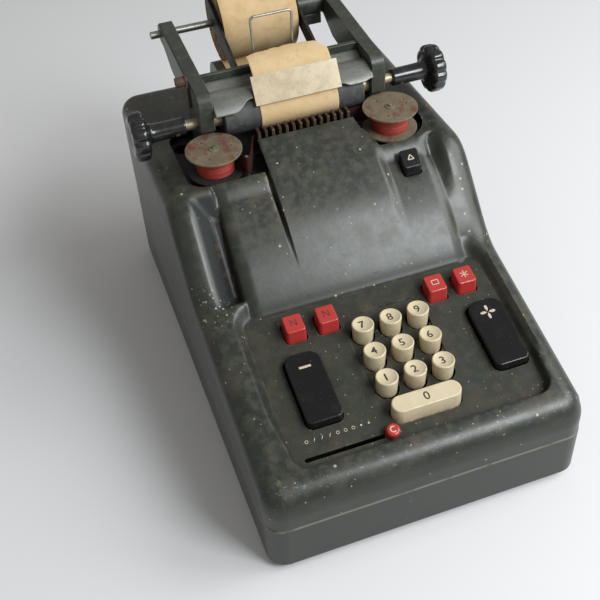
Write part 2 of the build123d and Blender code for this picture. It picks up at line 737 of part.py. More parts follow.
for name, side in (("carriage_arm_left", -1), ("carriage_arm_right", 1)):
    arm_low_x = -arm_inner - arm_thickness if side < 0 else arm_inner
    through = (arm_low_x - 1, arm_low_x + arm_thickness + 1)
    with BuildPart() as carriage_arm:
        prism(Plane.YZ.offset(arm_low_x), [(from_front(d), z) for d, z in arm_outline], arm_thickness,
              radius=arm_radii)
        outer_face = carriage_arm.faces().filter_by(Axis.X).sort_by(Axis.X)[0 if side < 0 else -1]
        chamfer(outer_face.edges(), 1.0)
        rod(*through, platen_from_front, platen_height, platen_shaft_radius + running_clearance,
            mode=Mode.SUBTRACT)
        rod(*through, roll_from_front, roll_height, axle_radius + running_clearance, mode=Mode.SUBTRACT)
        if side < 0:
            rod(-arm_inner - arm_thickness - 1, -arm_inner - 4, *lever_place, 2 + running_clearance,
                mode=Mode.SUBTRACT)
    save(carriage_arm, name)

with BuildPart() as platen_roller:
    rod(-platen_half, platen_half, platen_from_front, platen_height, platen_radius)
    chamfer(platen_roller.edges().filter_by(GeomType.CIRCLE), 0.6)
    rod(-platen_half - 1, platen_half + 1, platen_from_front, platen_height,
        platen_shaft_radius + running_clearance, mode=Mode.SUBTRACT)
save(platen_roller, "platen_roller")

with BuildPart() as platen_shaft:
    rod(-knob_centre, knob_centre, platen_from_front, platen_height, platen_shaft_radius)
    for hub_left in (-arm_inner + seat_gap, platen_half + seat_gap):
        rod(hub_left, hub_left + arm_inner - platen_half - 2 * seat_gap, platen_from_front, platen_height,
            platen_hub_radius)
save(platen_shaft, "platen_shaft")

for name, side in (("knob_left", -1), ("knob_right", 1)):
    disc_inner = side * (knob_centre - knob_thickness / 2)
    disc_outer = side * (knob_centre + knob_thickness / 2)
    with BuildPart() as knob:
        rod(*sorted((disc_inner, disc_outer)), platen_from_front, platen_height, knob_radius)
        fillet(knob.edges().filter_by(GeomType.CIRCLE), 2.0)
        with BuildSketch(Plane.YZ.offset(min(disc_inner, disc_outer) - 1)) as flutes:
            with Locations((platen_y, platen_height)):
                with PolarLocations(knob_radius + 1.2, 12):
                    Circle(2.4)
        extrude(flutes.sketch, amount=knob_thickness + 2, mode=Mode.SUBTRACT)
        rod(*sorted((side * knob_stem_inner, side * (knob_centre - 2))), platen_from_front, platen_height,
            knob_stem_radius)
        rod(*sorted((side * (knob_stem_inner - 1), side * (knob_centre + 0.3))), platen_from_front,
            platen_height, platen_shaft_radius + running_clearance, mode=Mode.SUBTRACT)
    save(knob, name)

cover_mean_radius = 17.7
wing_left = (-arm_inner + seat_gap, paper_x - paper_width / 2 - 3)
wing_right = (paper_x + paper_width / 2 + 3, arm_inner - seat_gap)


def cover_shell(x_range, first_angle, last_angle):
    """Part of the tube round the platen, between two angles from straight back over the top."""
    with BuildSketch(Plane.YZ.offset(x_range[0])) as shell:
        with BuildLine() as arc:
            CenterArc((platen_y, platen_height), cover_mean_radius, first_angle, last_angle - first_angle)
        trace(arc.line, line_width=1.6)
    extrude(shell.sketch, amount=x_range[1] - x_range[0])


with BuildPart() as platen_cover:
    cover_shell((wing_left[0], wing_right[1]), 55, 104)
    cover_shell(wing_left, 100, 145)
    cover_shell(wing_right, 100, 145)
    rear_edge = (platen_y + cover_mean_radius * cos(radians(56)),
                 platen_height + cover_mean_radius * sin(radians(56)))
    prism(Plane.YZ.offset(wing_left[0]),
          [(rear_edge[0] - 0.5, rear_edge[1] - 0.8), (from_front(268) - seat_gap, 193.5),
           (from_front(268) - seat_gap, 195.1), (rear_edge[0], rear_edge[1] + 0.8)],
          wing_right[1] - wing_left[0])
save(platen_cover, "platen_cover")

with BuildPart() as tear_window:
    window_low = (from_front(236.0), 187.0)
    window_high = (from_front(246.6), 204.0)
    prism(Plane.YZ.offset(wing_left[1] + seat_gap),
          [window_low, window_high, (window_high[0] + 0.86, window_high[1] - 0.5),
           (window_low[0] + 0.86, window_low[1] - 0.5)],
          wing_right[0] - wing_left[1] - 2 * seat_gap)
save(tear_window, "tear_window")

with BuildPart() as cross_plate:
    block((-arm_inner, arm_inner), (268, 271), (188, 200))
save(cross_plate, "cross_plate")

with BuildPart() as release_lever:
    lever_outer = -arm_inner - arm_thickness - seat_gap
    prism(Plane.YZ.offset(lever_outer - 1.5),
          [(from_front(lever_place[0] - 4), lever_place[1] - 4),
           (from_front(lever_place[0] + 4), lever_place[1] - 4),
           (from_front(lever_place[0] + 5), lever_place[1] + 20),
           (from_front(lever_place[0] - 2), lever_place[1] + 20)],
          1.5, radius=[3.5, 3.5, 3, 3])
    rod(lever_outer - 8, lever_outer - 1, lever_place[0] + 1.5, lever_place[1] + 16, 3.5)
    rod(lever_outer - 1, -arm_inner - 5, *lever_place, 2)
save(release_lever, "release_lever")


# ---------------------------------------------------------------- paper roll and strip
with BuildPart() as roll_axle:
    rod(-76.5, 72.0, roll_from_front, roll_height, axle_radius)
    chamfer(roll_axle.edges().filter_by(GeomType.CIRCLE), 0.5)
save(roll_axle, "roll_axle")

paper_left = paper_x - paper_width / 2
paper_right = paper_x + paper_width / 2
with BuildPart() as paper_roll:
    rod(paper_left, paper_right, roll_from_front, roll_height, roll_radius)
    for end in (paper_left - 0.1, paper_right - 1.5):
        rod(end, end + 1.6, roll_from_front, roll_height, roll_core_radius, mode=Mode.SUBTRACT)
    rod(paper_left - 1, paper_right + 1, roll_from_front, roll_height, axle_radius + running_clearance,
        mode=Mode.SUBTRACT)
save(paper_roll, "paper_roll")

with BuildPart() as roll_hub:
    rod(paper_right + 4.5, arm_inner - seat_gap, roll_from_front, roll_height, 9)
    block((paper_right + 9.5, arm_inner - 1.5), (roll_from_front - 6, roll_from_front + 6), (182, 190))
    rod(paper_right + 4, arm_inner, roll_from_front, roll_height, axle_radius + running_clearance,
        mode=Mode.SUBTRACT)
save(roll_hub, "roll_hub")

side_bar_outline = [(272, 175.5), (272, 188), (358, 217.5), (358, 203)]
with BuildPart() as roll_side_bars:
    for bar_left in (paper_left - 3, paper_right + 2):
        prism(Plane.YZ.offset(bar_left), [(from_front(d), z) for d, z in side_bar_outline], 2,
              radius=[2, 2, 6, 6])
        rod(bar_left, bar_left + 2, roll_from_front, roll_height + 3, 8)
    rod(paper_left - 4, paper_right + 5, roll_from_front, roll_height, axle_radius + running_clearance,
        mode=Mode.SUBTRACT)
save(roll_side_bars, "roll_side_bars")

wrap_radius = platen_radius + paper_gap + paper_thickness / 2
leave_radius = roll_radius + paper_gap + paper_thickness / 2
reach = (axle_y - platen_y, roll_height - platen_height)
spacing = sqrt(reach[0] ** 2 + reach[1] ** 2)
web_angle = degrees(atan2(reach[1], reach[0]) - pi / 2 - asin((leave_radius - wrap_radius) / spacing))
exit_angle = 150.0
web_end = polar_point(axle_y, roll_height, leave_radius, web_angle)
web_start = polar_point(platen_y, platen_height, wrap_radius, web_angle)
exit_point = polar_point(platen_y, platen_height, wrap_radius, exit_angle)
strip_top = (exit_point[0] + 18 * sin(radians(exit_angle)), exit_point[1] - 18 * cos(radians(exit_angle)))
with BuildPart() as paper_strip:
    with BuildSketch(Plane.YZ.offset(paper_left)) as strip_side:
        with BuildLine() as strip_line:
            Line(web_end, web_start)
            CenterArc((platen_y, platen_height), wrap_radius, web_angle, exit_angle - 360 - web_angle)
            Line(exit_point, strip_top)
            Spline(strip_top, (from_front(256), 208.0), (from_front(267), 210.5),
                   tangents=[(sin(radians(exit_angle)), -cos(radians(exit_angle))), (1, -0.1)])
        trace(strip_line.line, line_width=paper_thickness)
    extrude(amount=paper_width)
save(paper_strip, "paper_strip")

with BuildPart() as wire_bail:
    with BuildLine(Plane.XZ.offset(-from_front(269.5))) as bail_line:
        FilletPolyline((-18, 200.15), (-19, 235), (11, 235), (10, 200.15), radius=3)
    with BuildSketch(Plane(origin=bail_line.line @ 0, z_dir=bail_line.line % 0)):
        Circle(0.9)
    sweep()
save(wire_bail, "wire_bail")
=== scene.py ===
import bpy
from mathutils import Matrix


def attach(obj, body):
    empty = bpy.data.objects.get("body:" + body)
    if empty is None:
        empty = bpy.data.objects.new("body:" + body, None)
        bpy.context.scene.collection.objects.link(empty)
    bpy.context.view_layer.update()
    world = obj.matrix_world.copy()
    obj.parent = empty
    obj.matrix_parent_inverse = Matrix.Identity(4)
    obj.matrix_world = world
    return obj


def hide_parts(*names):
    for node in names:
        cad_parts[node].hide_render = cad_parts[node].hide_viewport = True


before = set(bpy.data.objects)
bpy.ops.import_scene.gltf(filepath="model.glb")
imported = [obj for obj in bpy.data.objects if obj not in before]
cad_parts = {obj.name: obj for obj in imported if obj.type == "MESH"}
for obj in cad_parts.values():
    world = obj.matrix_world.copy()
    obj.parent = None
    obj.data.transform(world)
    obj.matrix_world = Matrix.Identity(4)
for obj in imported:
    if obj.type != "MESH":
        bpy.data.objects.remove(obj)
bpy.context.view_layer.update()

import math
import bmesh
import bpy
import numpy as np
from mathutils import Matrix, Vector

# ---------------------------------------------------------------- camera, floor and light
# The view that the photograph was taken from: a little to the left, looking down on the keys.
# A pale floor carries the shadow; a large soft lamp stands at the right, a smaller one in front.
FRONT = -186.5          # y of the machine's front face, in millimetres
MM = 0.001

yaw, pitch, roll = math.radians(17.0), math.radians(43.33), math.radians(-3.86)
look = Vector((math.sin(yaw) * math.cos(pitch), math.cos(yaw) * math.cos(pitch), -math.sin(pitch)))
level = Vector((math.cos(yaw), -math.sin(yaw), 0))
above = level.cross(look)
right = math.cos(roll) * level + math.sin(roll) * above
up = -math.sin(roll) * level + math.cos(roll) * above
camera_data = bpy.data.cameras.new("camera")
camera_data.lens = 58.18
camera_data.sensor_width = 36
camera = bpy.data.objects.new("camera", camera_data)
turned = Matrix((right, up, -look)).transposed().to_4x4()
camera.matrix_world = Matrix.Translation((-0.1773, -0.5075, 0.5456)) @ turned
bpy.context.scene.collection.objects.link(camera)
bpy.context.scene.camera = camera


def lamp(name, place, aim, size, power, colour):
    """A square soft lamp at a place, turned to face a point."""
    data = bpy.data.lights.new(name, "AREA")
    data.energy = power
    data.size = size
    data.color = colour
    stand = bpy.data.objects.new(name, data)
    stand.location = place
    stand.rotation_euler = (Vector(aim) - Vector(place)).to_track_quat("-Z", "Y").to_euler()
    bpy.context.scene.collection.objects.link(stand)


lamp("window_lamp", (1.3, -0.4, 1.15), (0, 0, 0.08), 1.0, 18, (0.97, 0.985, 1.0))
lamp("front_lamp", (0.7, -1.1, 1.2), (0, -0.05, 0.08), 0.6, 19, (0.93, 0.97, 1.0))

world = bpy.data.worlds.new("sky")
world.use_nodes = True
sky = world.node_tree.nodes["Background"]
sky.inputs["Color"].default_value = (1.0, 0.985, 0.96, 1)
sky.inputs["Strength"].default_value = 0.32
bpy.context.scene.world = world
bpy.context.scene.view_settings.view_transform = "Standard"

floor_mesh = bpy.data.meshes.new("floor")
floor_mesh.from_pydata([(-3, -3, 0), (3, -3, 0), (3, 3, 0), (-3, 3, 0)], [], [(0, 1, 2, 3)])
floor = bpy.data.objects.new("floor", floor_mesh)
bpy.context.scene.collection.objects.link(floor)
floor_paper = bpy.data.materials.new("floor_paper")
floor_paper.use_nodes = True
floor_shader = floor_paper.node_tree.nodes["Principled BSDF"]
floor_shader.inputs["Base Color"].default_value = (0.78, 0.78, 0.785, 1)
floor_shader.inputs["Roughness"].default_value = 0.8
floor_mesh.materials.append(floor_paper)


# ---------------------------------------------------------------- top cover
# The upper housing: one aluminium casting with a raised hump over the printing works and a
# higher cowl on it, enamelled dark grey-green, dusty, speckled with pale paint and worn bright;
# shade is painted dark into its recess walls, the hump's foot, the cowl's groove and hand pocket.
class Finish:
    """A surface finish built up in layers over one shader, in the piece's object coordinates.

    Sizes and heights are in millimetres. A mask is a node's output that is one where a layer lies
    and zero where it doesn't, or the settings of a cloud in brackets.
    """

    def __init__(self, name, colour, roughness, metallic=0.0, coat=0.0, specular=0.5,
                 coat_roughness=0.12):
        self.material = bpy.data.materials.new(name)
        self.material.use_nodes = True
        self.tree = self.material.node_tree
        self.shader = self.tree.nodes["Principled BSDF"]
        starts = {"Metallic": metallic, "Coat Weight": coat, "Coat Roughness": coat_roughness,
                  "Specular IOR Level": specular, "Base Color": colour, "Roughness": roughness}
        for socket, value in starts.items():
            self.set(self.shader.inputs[socket], value)
        self.where = self.make("ShaderNodeTexCoord").outputs["Object"]
        self.colour, self.roughness, self.height = colour, roughness, None

    def make(self, kind, inputs={}, **settings):
        """A new node with these settings, and with a value or another node's output in each input."""
        node = self.tree.nodes.new(kind)
        for name, value in settings.items():
            setattr(node, name, value)
        for name, value in inputs.items():
            self.set(node.inputs[name], value)
        return node

    def set(self, socket, value):
        if isinstance(value, bpy.types.NodeSocket):
            self.tree.links.new(value, socket)
        else:
            socket.default_value = (*value, 1) if socket.type == "RGBA" else value

    def cloud(self, size, low=0.4, high=0.6, detail=4.0, stretch=(1, 1, 1)):
        """A mask of soft patches, `size` across, cut between two levels of the noise."""
        place = self.where
        if stretch != (1, 1, 1):
            place = self.make("ShaderNodeMapping", {"Vector": place, "Scale": stretch}).outputs["Vector"]
        noise = self.make("ShaderNodeTexNoise",
                          {"Vector": place, "Scale": 1 / (size * MM), "Detail": detail, "Roughness": 0.6})
        return self.band(noise.outputs["Fac"], low, high)

    def flecks(self, spacing, radius, keep=0.5):
        """A mask of small round flecks: cells' centres, where a second noise lets them through."""
        cells = self.make("ShaderNodeTexVoronoi", {"Vector": self.where, "Scale": 1 / (spacing * MM)})
        dots = self.band(cells.outputs["Distance"], radius / spacing, radius / spacing * 0.7)
        return self.both(dots, self.cloud(spacing * 2.7, keep, keep + 0.03, 2.0))

    def band(self, value, low, high):
        """Zero at `low`, one at `high`, smooth between."""
        return self.make("ShaderNodeMapRange", {"Value": value, "From Min": low, "From Max": high},
                         interpolation_type="SMOOTHSTEP").outputs["Result"]

    def sum(self, kind, first, second):
        return self.make("ShaderNodeMath", {0: first, 1: second}, operation=kind).outputs[0]

    def both(self, *masks):
        """Where two masks are. Either can be a number, or the settings of a cloud in brackets."""
        return self.sum("MULTIPLY", *[self.cloud(*m) if isinstance(m, tuple) else m for m in masks])

    def rounded_normal(self, radius):
        return self.make("ShaderNodeBevel", {"Radius": radius * MM}, samples=4).outputs["Normal"]

    def edges(self, width, low=0.93, high=0.8):
        """A mask along convex and concave edges: where the rounded normal leaves the true one."""
        true = self.make("ShaderNodeNewGeometry").outputs["Normal"]
        normals = {0: self.rounded_normal(width), 1: true}
        dot = self.make("ShaderNodeVectorMath", normals, operation="DOT_PRODUCT")
        return self.band(dot.outputs["Value"], low, high)

    def hollows(self, reach):
        """A mask of the places that other surfaces stand close round, within `reach`."""
        open_sky = self.make("ShaderNodeAmbientOcclusion", {"Distance": reach * MM}, samples=6)
        return self.band(open_sky.outputs["AO"], 0.92, 0.45)

    def painted(self, name):
        """The value that the mesh carries under this name."""
        return self.make("ShaderNodeAttribute", attribute_name=name).outputs["Fac"]

    def part(self, vector, axis):
        return self.make("ShaderNodeSeparateXYZ", {"Vector": vector}).outputs[axis]

    def between_heights(self, low, high):
        """Zero at one height above the floor, one at the other."""
        return self.band(self.part(self.where, "Z"), low * MM, high * MM)

    def facing(self, axis):
        """How far the surface faces along an axis."""
        return self.part(self.make("ShaderNodeNewGeometry").outputs["Normal"], axis)

    def mixed(self, kind, mask, under, over):
        """Colours or numbers, one lying over the other by the mask."""
        first, result = {"RGBA": (6, 2), "FLOAT": (2, 0)}[kind]     # where the node keeps each kind
        inputs = {0: mask, first: under, first + 1: over}
        return self.make("ShaderNodeMix", inputs, data_type=kind).outputs[result]

    def lay(self, mask, colour, roughness, amount=1.0):
        """Lay a colour and a roughness over what is there, where the mask is one."""
        mask = self.both(mask, amount)
        self.colour = self.mixed("RGBA", mask, self.colour, colour)
        self.roughness = self.mixed("FLOAT", mask, self.roughness, roughness)
        self.set(self.shader.inputs["Base Color"], self.colour)
        self.set(self.shader.inputs["Roughness"], self.roughness)

    def relief(self, mask, depth):
        """Raise the surface by `depth` where the mask is one."""
        raised = self.both(mask, depth * MM)
        self.height = raised if self.height is None else self.sum("ADD", self.height, raised)

    def done(self, round_edges=0.0):
        """Join up the relief, over edges rounded by this much, and give the material."""
        inputs = {"Normal": self.rounded_normal(round_edges)} if round_edges else {}
        if self.height is not None:
            bump = self.make("ShaderNodeBump", {"Distance": 1.0, "Height": self.height, **inputs})
            inputs = {"Normal": bump.outputs["Normal"]}
        for name, value in inputs.items():
            self.set(self.shader.inputs[name], value)
        return self.material


def piece(name, points, faces, body, material, sharp=35, attributes={}):
    """Put a mesh of points in millimetres into the scene, shaded smooth but for its sharp edges."""
    mesh = bpy.data.meshes.new(name)
    mesh.from_pydata((np.asarray(points, float) * MM).tolist(), [], faces)
    for label, values in attributes.items():
        mesh.attributes.new(label, "FLOAT", "POINT").data.foreach_set("value", np.asarray(values, np.float32))
    mesh.materials.append(material)
    made = bpy.data.objects.new(name, mesh)
    bpy.context.scene.collection.objects.link(made)
    mesh.shade_smooth()
    mesh.set_sharp_from_angle(angle=math.radians(sharp))
    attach(made, body)
    return made


def grid_faces(rows, columns, close_rows=False, close_columns=False):
    """The four-cornered faces of a grid of rows by columns of points, joined end to end if closed."""
    i, j = np.indices((rows - (not close_rows), columns - (not close_columns))).reshape(2, -1)
    i2, j2 = (i + 1) % rows, (j + 1) % columns
    return np.stack([i * columns + j, i * columns + j2, i2 * columns + j2, i2 * columns + j], 1).tolist()


def smooth_step(value, low, high):
    """Zero below `low`, one above `high`, a cubic between."""
    t = np.clip((value - low) / (high - low), 0, 1)
    return t * t * (3 - 2 * t)


def smooth_max(a, b, width):
    """The larger of two heights, with a fillet where they are within `width` of each other."""
    near = np.maximum(width - np.abs(a - b), 0) / width
    return np.maximum(a, b) + near * near * width / 4


def smooth_min(a, b, width):
    return -smooth_max(-a, -b, width)


def bell(value, centre, width):
    """One at the centre, falling away over the width on both sides."""
    return np.exp(-(((value - centre) / width) ** 2))


def rounded_box(x, d, centre, size, radius):
    """Distance from the outline of a rectangle with rounded corners; negative inside it."""
    px = np.abs(x - centre[0]) - size[0] / 2 + radius
    pd = np.abs(d - centre[1]) - size[1] / 2 + radius
    outside = np.hypot(np.maximum(px, 0), np.maximum(pd, 0))
    return outside + np.minimum(np.maximum(px, pd), 0) - radius


def arc_height(d, start, middle, end):
    """Height over distance of the circle through three points of a side view."""
    (x1, y1), (x2, y2), (x3, y3) = start, middle, end
    s1, s2, s3 = x1**2 + y1**2, x2**2 + y2**2, x3**2 + y3**2
    det = 2 * (x1 * (y2 - y3) + x2 * (y3 - y1) + x3 * (y1 - y2))
    cx = (s1 * (y2 - y3) + s2 * (y3 - y1) + s3 * (y1 - y2)) / det
    cy = (s1 * (x3 - x2) + s2 * (x1 - x3) + s3 * (x2 - x1)) / det
    radius = math.hypot(x1 - cx, y1 - cy)
    return cy + np.sqrt(np.maximum(radius**2 - (d - cx) ** 2, 0))


PLATE_SLOPE = 0.255


def plate_top(d):
    """Height of the keyboard plate's upper face at a distance from the front."""
    return 67.0 + PLATE_SLOPE * (d - 20.0)


HUMP_FOOT = 129.0                                           # distance from the front
HUMP = ((HUMP_FOOT, 94.8), (161.0, 127.6), (203.0, 153.0))  # side view: distance, height
COWL = ((HUMP_FOOT, 94.8), (168.0, 135.9), (226.0, 167.3))
HUMP_LEFT, HUMP_RIGHT, HUMP_ROUND = -75.5, 85.0, 10.0
GROOVE_X = -34.7                                            # the cowl's left edge


def recess_edge(x, d):
    """Distance from the edge of the keyboard recess, and how wide its wall spreads there."""
    return rounded_box(x, d, (4.75, 75.5), (171.5, 110), 9), 3.0 + 5.0 * smooth_step(d, 30, 60)


def pocket_depth(x, d):
    """Depth of the hand pocket left of the hump: a slanting left wall, steeper ends, a flat bottom."""
    ends = smooth_min(1.5 * (d - 138.5), 1.6 * (197 - d), 3)
    depth = smooth_min(smooth_min(1.15 * (x + 92), ends, 5), 13, 3)
    return smooth_max(depth, 0, 4) * (x < 0)


def side_arc(d, arc):
    """An arc of the side view, held level behind its end and falling steeply before the foot."""
    return arc_height(np.clip(d, HUMP_FOOT, arc[-1][0]), *arc) - 14 * np.maximum(HUMP_FOOT - d, 0)


def cover_height(x, d):
    """Height of the cover over the plan: side rims, the recess and pocket, the hump and the cowl.

    The rim is three straight runs with fillets; the recess sinks it to the keyboard plate. The hump
    is an arc in side view whose side edges fall away as quarter circles; the cowl's extra height is
    added across its own width, behind a groove. The larger of the two is the surface.
    """
    deck = 156.5 - 0.0219 * (d - 192)
    rim = smooth_min(smooth_max(73 + PLATE_SLOPE * (d - 18), 104.6 + 1.037 * (d - 142), 9), deck, 10)
    edge, lean = recess_edge(x, d)
    bed = plate_top(d) - 0.3
    around = rim + (bed - rim) * smooth_step(-edge, -lean, 0.3) - pocket_depth(x, d)
    shoulder = side_arc(d, HUMP)
    shoulder += (deck - 0.2 - shoulder) * smooth_step(d, 190, 204)
    low = np.maximum(np.minimum(around, shoulder - 3), np.minimum(bed, around))
    beside = np.maximum(smooth_step(x, 83, 93), smooth_step(-x, 73, 77))
    under = around + (low - around) * (1 - beside) * smooth_step(d, 127, 130)
    inset = np.clip(HUMP_ROUND - np.minimum(x - HUMP_LEFT, HUMP_RIGHT - x), 0, HUMP_ROUND)
    beyond = np.maximum(np.maximum(HUMP_LEFT - x, x - HUMP_RIGHT), 0)
    fall = HUMP_ROUND - np.sqrt(HUMP_ROUND**2 - inset**2) + 14 * beyond
    fall *= 1 - smooth_step(d, 196, 204)
    share = smooth_step(x, -33.9, -32.8) * (1 - smooth_step(x, 42, 50)) * smooth_step(d, 144, 172)
    groove = 3.2 * bell(x, GROOVE_X, 0.8) * smooth_step(d, 150, 184) * (1 - smooth_step(d, 203, 206))
    top = shoulder + np.maximum(side_arc(d, COWL) - shoulder, 0) * share - fall - groove
    return smooth_max(under, top, 3 - 2.8 * smooth_step(d, 180, 200))


def cover_cuts(x, d):
    """Distance from the nearest opening's outline: key opening, wells, comb slot, notches, feed key."""
    cuts = [
        rounded_box(x, d, (4.75, 74.5), (170.7, 106.2), 7.6),
        rounded_box(x, d, (-64, 239), (48, 73), 12),
        np.hypot(x - 64, d - 226.5) - 26,
        rounded_box(x, d, (0, 250.9), (144, 50.2), 0.5),
        rounded_box(x, d, (-41, 218), (16, 30), 1.5),
        rounded_box(x, d, (52.2, 214), (9.6, 26), 1.5),
        rounded_box(x, d, (64.5, 185), (14.8, 12.8), 2.4),
    ]
    return np.min(cuts, 0)


def runs(*parts):
    """Grid lines: for each (end, count) that many equal steps from the last end."""
    lines = [parts[0]]
    for end, count in parts[1:]:
        lines += list(np.linspace(lines[-1], end, count + 1)[1:])
    return np.array(lines)


# the plan as a grid, with closer lines over the edges of the forms
across = runs(-95, (-91, 6), (-79, 18), (-70, 14), (-61, 10), (-37, 18), (-32, 18), (41, 46), (51, 12),
              (74, 18), (82, 10), (95, 18))
along = runs(14, (18, 4), (25, 14), (122, 48), (150, 42), (178, 24), (206, 36), (232, 24), (274, 28),
             (280, 6), (338, 20))
columns, rows = len(across), len(along)
inner = np.stack(np.meshgrid(across, along), 2).reshape(-1, 2)

# the grid's border, once round, with the way outwards at each point; a fan of ways at each corner
edge_width = 14.0       # of the rounded edge round the plan
turns = 8               # steps round the edge, and round each corner
border = np.concatenate([
    np.arange(columns),
    columns * np.arange(1, rows) + columns - 1,
    columns * (rows - 1) + np.arange(columns - 2, -1, -1),
    columns * np.arange(rows - 2, 0, -1),
])
corners = {0, columns - 1, columns + rows - 2, 2 * columns + rows - 3}
front, right_side, rear, left_side = (0, -1), (1, 0), (0, 1), (-1, 0)
sides = ([front] * (columns - 1) + [right_side] * (rows - 1)
         + [rear] * (columns - 1) + [left_side] * (rows - 1))
ways, ids = [], []
for k, index in enumerate(border):
    if k in corners:
        first, second = np.array(sides[k - 1], float), np.array(sides[k], float)
        ways += [first * math.cos(t) + second * math.sin(t) for t in np.linspace(0, math.pi / 2, turns + 1)]
        ids += [index] * (turns + 1)
    else:
        ways.append(np.array(sides[k], float))
        ids.append(index)
ways, ids = np.array(ways), np.array(ids)
count = len(ids)

# rings of points round the edge, then down the walls; points near a cut move onto its outline
angles = np.linspace(0, math.pi / 2, turns + 1)[1:]
wall_shares = np.linspace(1, 0, 9)[1:]
rings = [inner[ids] + ways * edge_width * math.sin(a) for a in angles]
plan = np.concatenate([inner] + rings + [rings[-1]] * len(wall_shares))
on_grid = np.arange(len(plan)) < len(inner)
cuts = cover_cuts(*plan.T)
nudge = 0.05
slope = np.stack([cover_cuts(*(plan + way).T) - cover_cuts(*(plan - way).T)
                  for way in ([nudge, 0], [0, nudge])], 1) / (2 * nudge)
steepness = np.maximum((slope**2).sum(1), 0.5)[:, None]
onto_cut = plan - slope / steepness * cuts[:, None]
plan = np.where(((np.abs(cuts) < 0.8) & on_grid)[:, None], onto_cut, plan)

high = cover_height(*plan.T)
edge_drop = np.where(ways[:, 1] < -0.1, 16.0, 13.0)
seam_height = 42.3
bands = [slice(start, start + count) for start in range(len(inner), len(plan), count)]
for band, a in zip(bands, angles):
    high[band] -= edge_drop * (1 - math.cos(a))
lowest = high[bands[turns - 1]]
for band, share in zip(bands[turns:], wall_shares):
    high[band] = seam_height + (lowest - seam_height) * share
points = np.column_stack([plan[:, 0], plan[:, 1] + FRONT, high])

faces = np.array(grid_faces(rows, columns))
faces = faces[cover_cuts(*plan[faces].mean(1).T) > 0]
chain = [ids] + [np.arange(band.start, band.stop) for band in bands]
skirt = np.concatenate([np.stack([upper, lower, np.roll(lower, -1), np.roll(upper, -1)], 1)
                        for upper, lower in zip(chain[:-1], chain[1:])])
flat = skirt[:, 0] == skirt[:, 3]
faces = faces.tolist() + skirt[~flat].tolist() + skirt[flat, :3].tolist()

# where painted shade, dirt, wear and splashes lie
edge, lean = recess_edge(*plan.T)
pocket = pocket_depth(*plan.T)
left_of, from_front = plan.T
wall_shade_and_dirt = 0.5 * smooth_step(-edge, -lean * 0.7, -0.5)
foot_shade_and_dirt = bell(from_front, 129.6, 1.0) * smooth_step(-edge, -2, 2)
groove_shade_and_dirt = bell(left_of, GROOVE_X, 0.9) * smooth_step(from_front, 150, 170) * (from_front < 206)
pocket_shade_and_dirt = smooth_step(pocket, 9, 12.5) * (left_of < -74)
lip_wear = bell(high, 70, 4.5) * (from_front < 16) * ~on_grid
rim_wear = 0.9 * bell(from_front, 188, 10) * bell(left_of, 103, 6)
attributes = {
    "shade_and_grime": np.maximum.reduce([wall_shade_and_dirt, foot_shade_and_dirt, groove_shade_and_dirt, pocket_shade_and_dirt]),
    "worn": np.maximum(lip_wear, rim_wear),
    "pale_groove_edge": bell(left_of, -36.8, 1.0) * smooth_step(from_front, 165, 190) * (from_front < 205),
    "splashed": bell(left_of, -96, 9) * bell(from_front, 138, 9),
    "scraped": bell(left_of, -96, 1.1) * bell(from_front, 13, 7) * (high > 64),
    "pocket": smooth_step(pocket, 0.5, 3) * (left_of < -74.5),
}

enamel = Finish("enamel", (0.02, 0.0245, 0.018), 0.33, coat=0.25, specular=0.4, coat_roughness=0.27)
enamel.lay((45, 0.35, 0.7), (0.027, 0.032, 0.024), 0.36, 0.8)
enamel.lay((14, 0.4, 0.7, 5), (0.036, 0.039, 0.029), 0.42, 0.6)
upwards = enamel.facing("Z")
enamel.lay(enamel.both(enamel.band(upwards, 0.45, 0.95), (6, 0.4, 0.68, 6)), (0.078, 0.076, 0.056), 0.6, 0.5)
enamel.lay(enamel.both(enamel.band(upwards, 0.3, 0.8), (22, 0.48, 0.66, 5)), (0.085, 0.07, 0.045), 0.65, 0.4)
# painted shade: the hand pocket's floor and slanting wall painted dark and rough
enamel.lay(enamel.painted("pocket"), (0.014, 0.018, 0.018), 0.8, 0.9)
# painted shade, near black, in the recess walls, at the hump's foot, in the cowl's groove and deep in the
# pocket; the next layer lays brown dirt in patches over the same places
enamel.lay(enamel.painted("shade_and_grime"), (0.009, 0.008, 0.006), 0.8, 0.85)
enamel.lay(enamel.both(enamel.painted("shade_and_grime"), (9, 0.54, 0.64)), (0.13, 0.085, 0.045), 0.85, 0.4)
enamel.lay(enamel.both(enamel.edges(0.9, 0.88, 0.7), (6, 0.4, 0.55)), (0.2, 0.19, 0.15), 0.5, 0.6)
# a pale band along the left side of the cowl's groove
enamel.lay(enamel.both(enamel.painted("pale_groove_edge"), (5, 0.35, 0.6)), (0.24, 0.21, 0.15), 0.5, 0.75)
enamel.lay(enamel.both(enamel.between_heights(43.3, 42.8), (9, 0.3, 0.5)), (0.2, 0.19, 0.15), 0.6, 0.9)
enamel.lay(enamel.both(enamel.painted("worn"), (3.2, 0.6, 0.66, 5, (1, 1, 2.5))), (0.2, 0.21, 0.2), 0.4, 0.6)
enamel.lay(enamel.flecks(8.5, 1.1, 0.55), (0.42, 0.41, 0.33), 0.55, 0.85)
enamel.lay(enamel.flecks(5.0, 0.6, 0.54), (0.36, 0.35, 0.27), 0.55, 0.8)
enamel.lay(enamel.flecks(2.6, 0.26, 0.53), (0.22, 0.21, 0.17), 0.55, 0.7)
enamel.lay(enamel.both(enamel.painted("splashed"), enamel.flecks(3.0, 0.9, 0.35)),
           (0.5, 0.48, 0.4), 0.55, 0.95)
enamel.lay(enamel.both(enamel.painted("scraped"), (2.6, 0.5, 0.56, 5, (1, 0.4, 0.4))),
           (0.3, 0.36, 0.2), 0.6, 0.7)
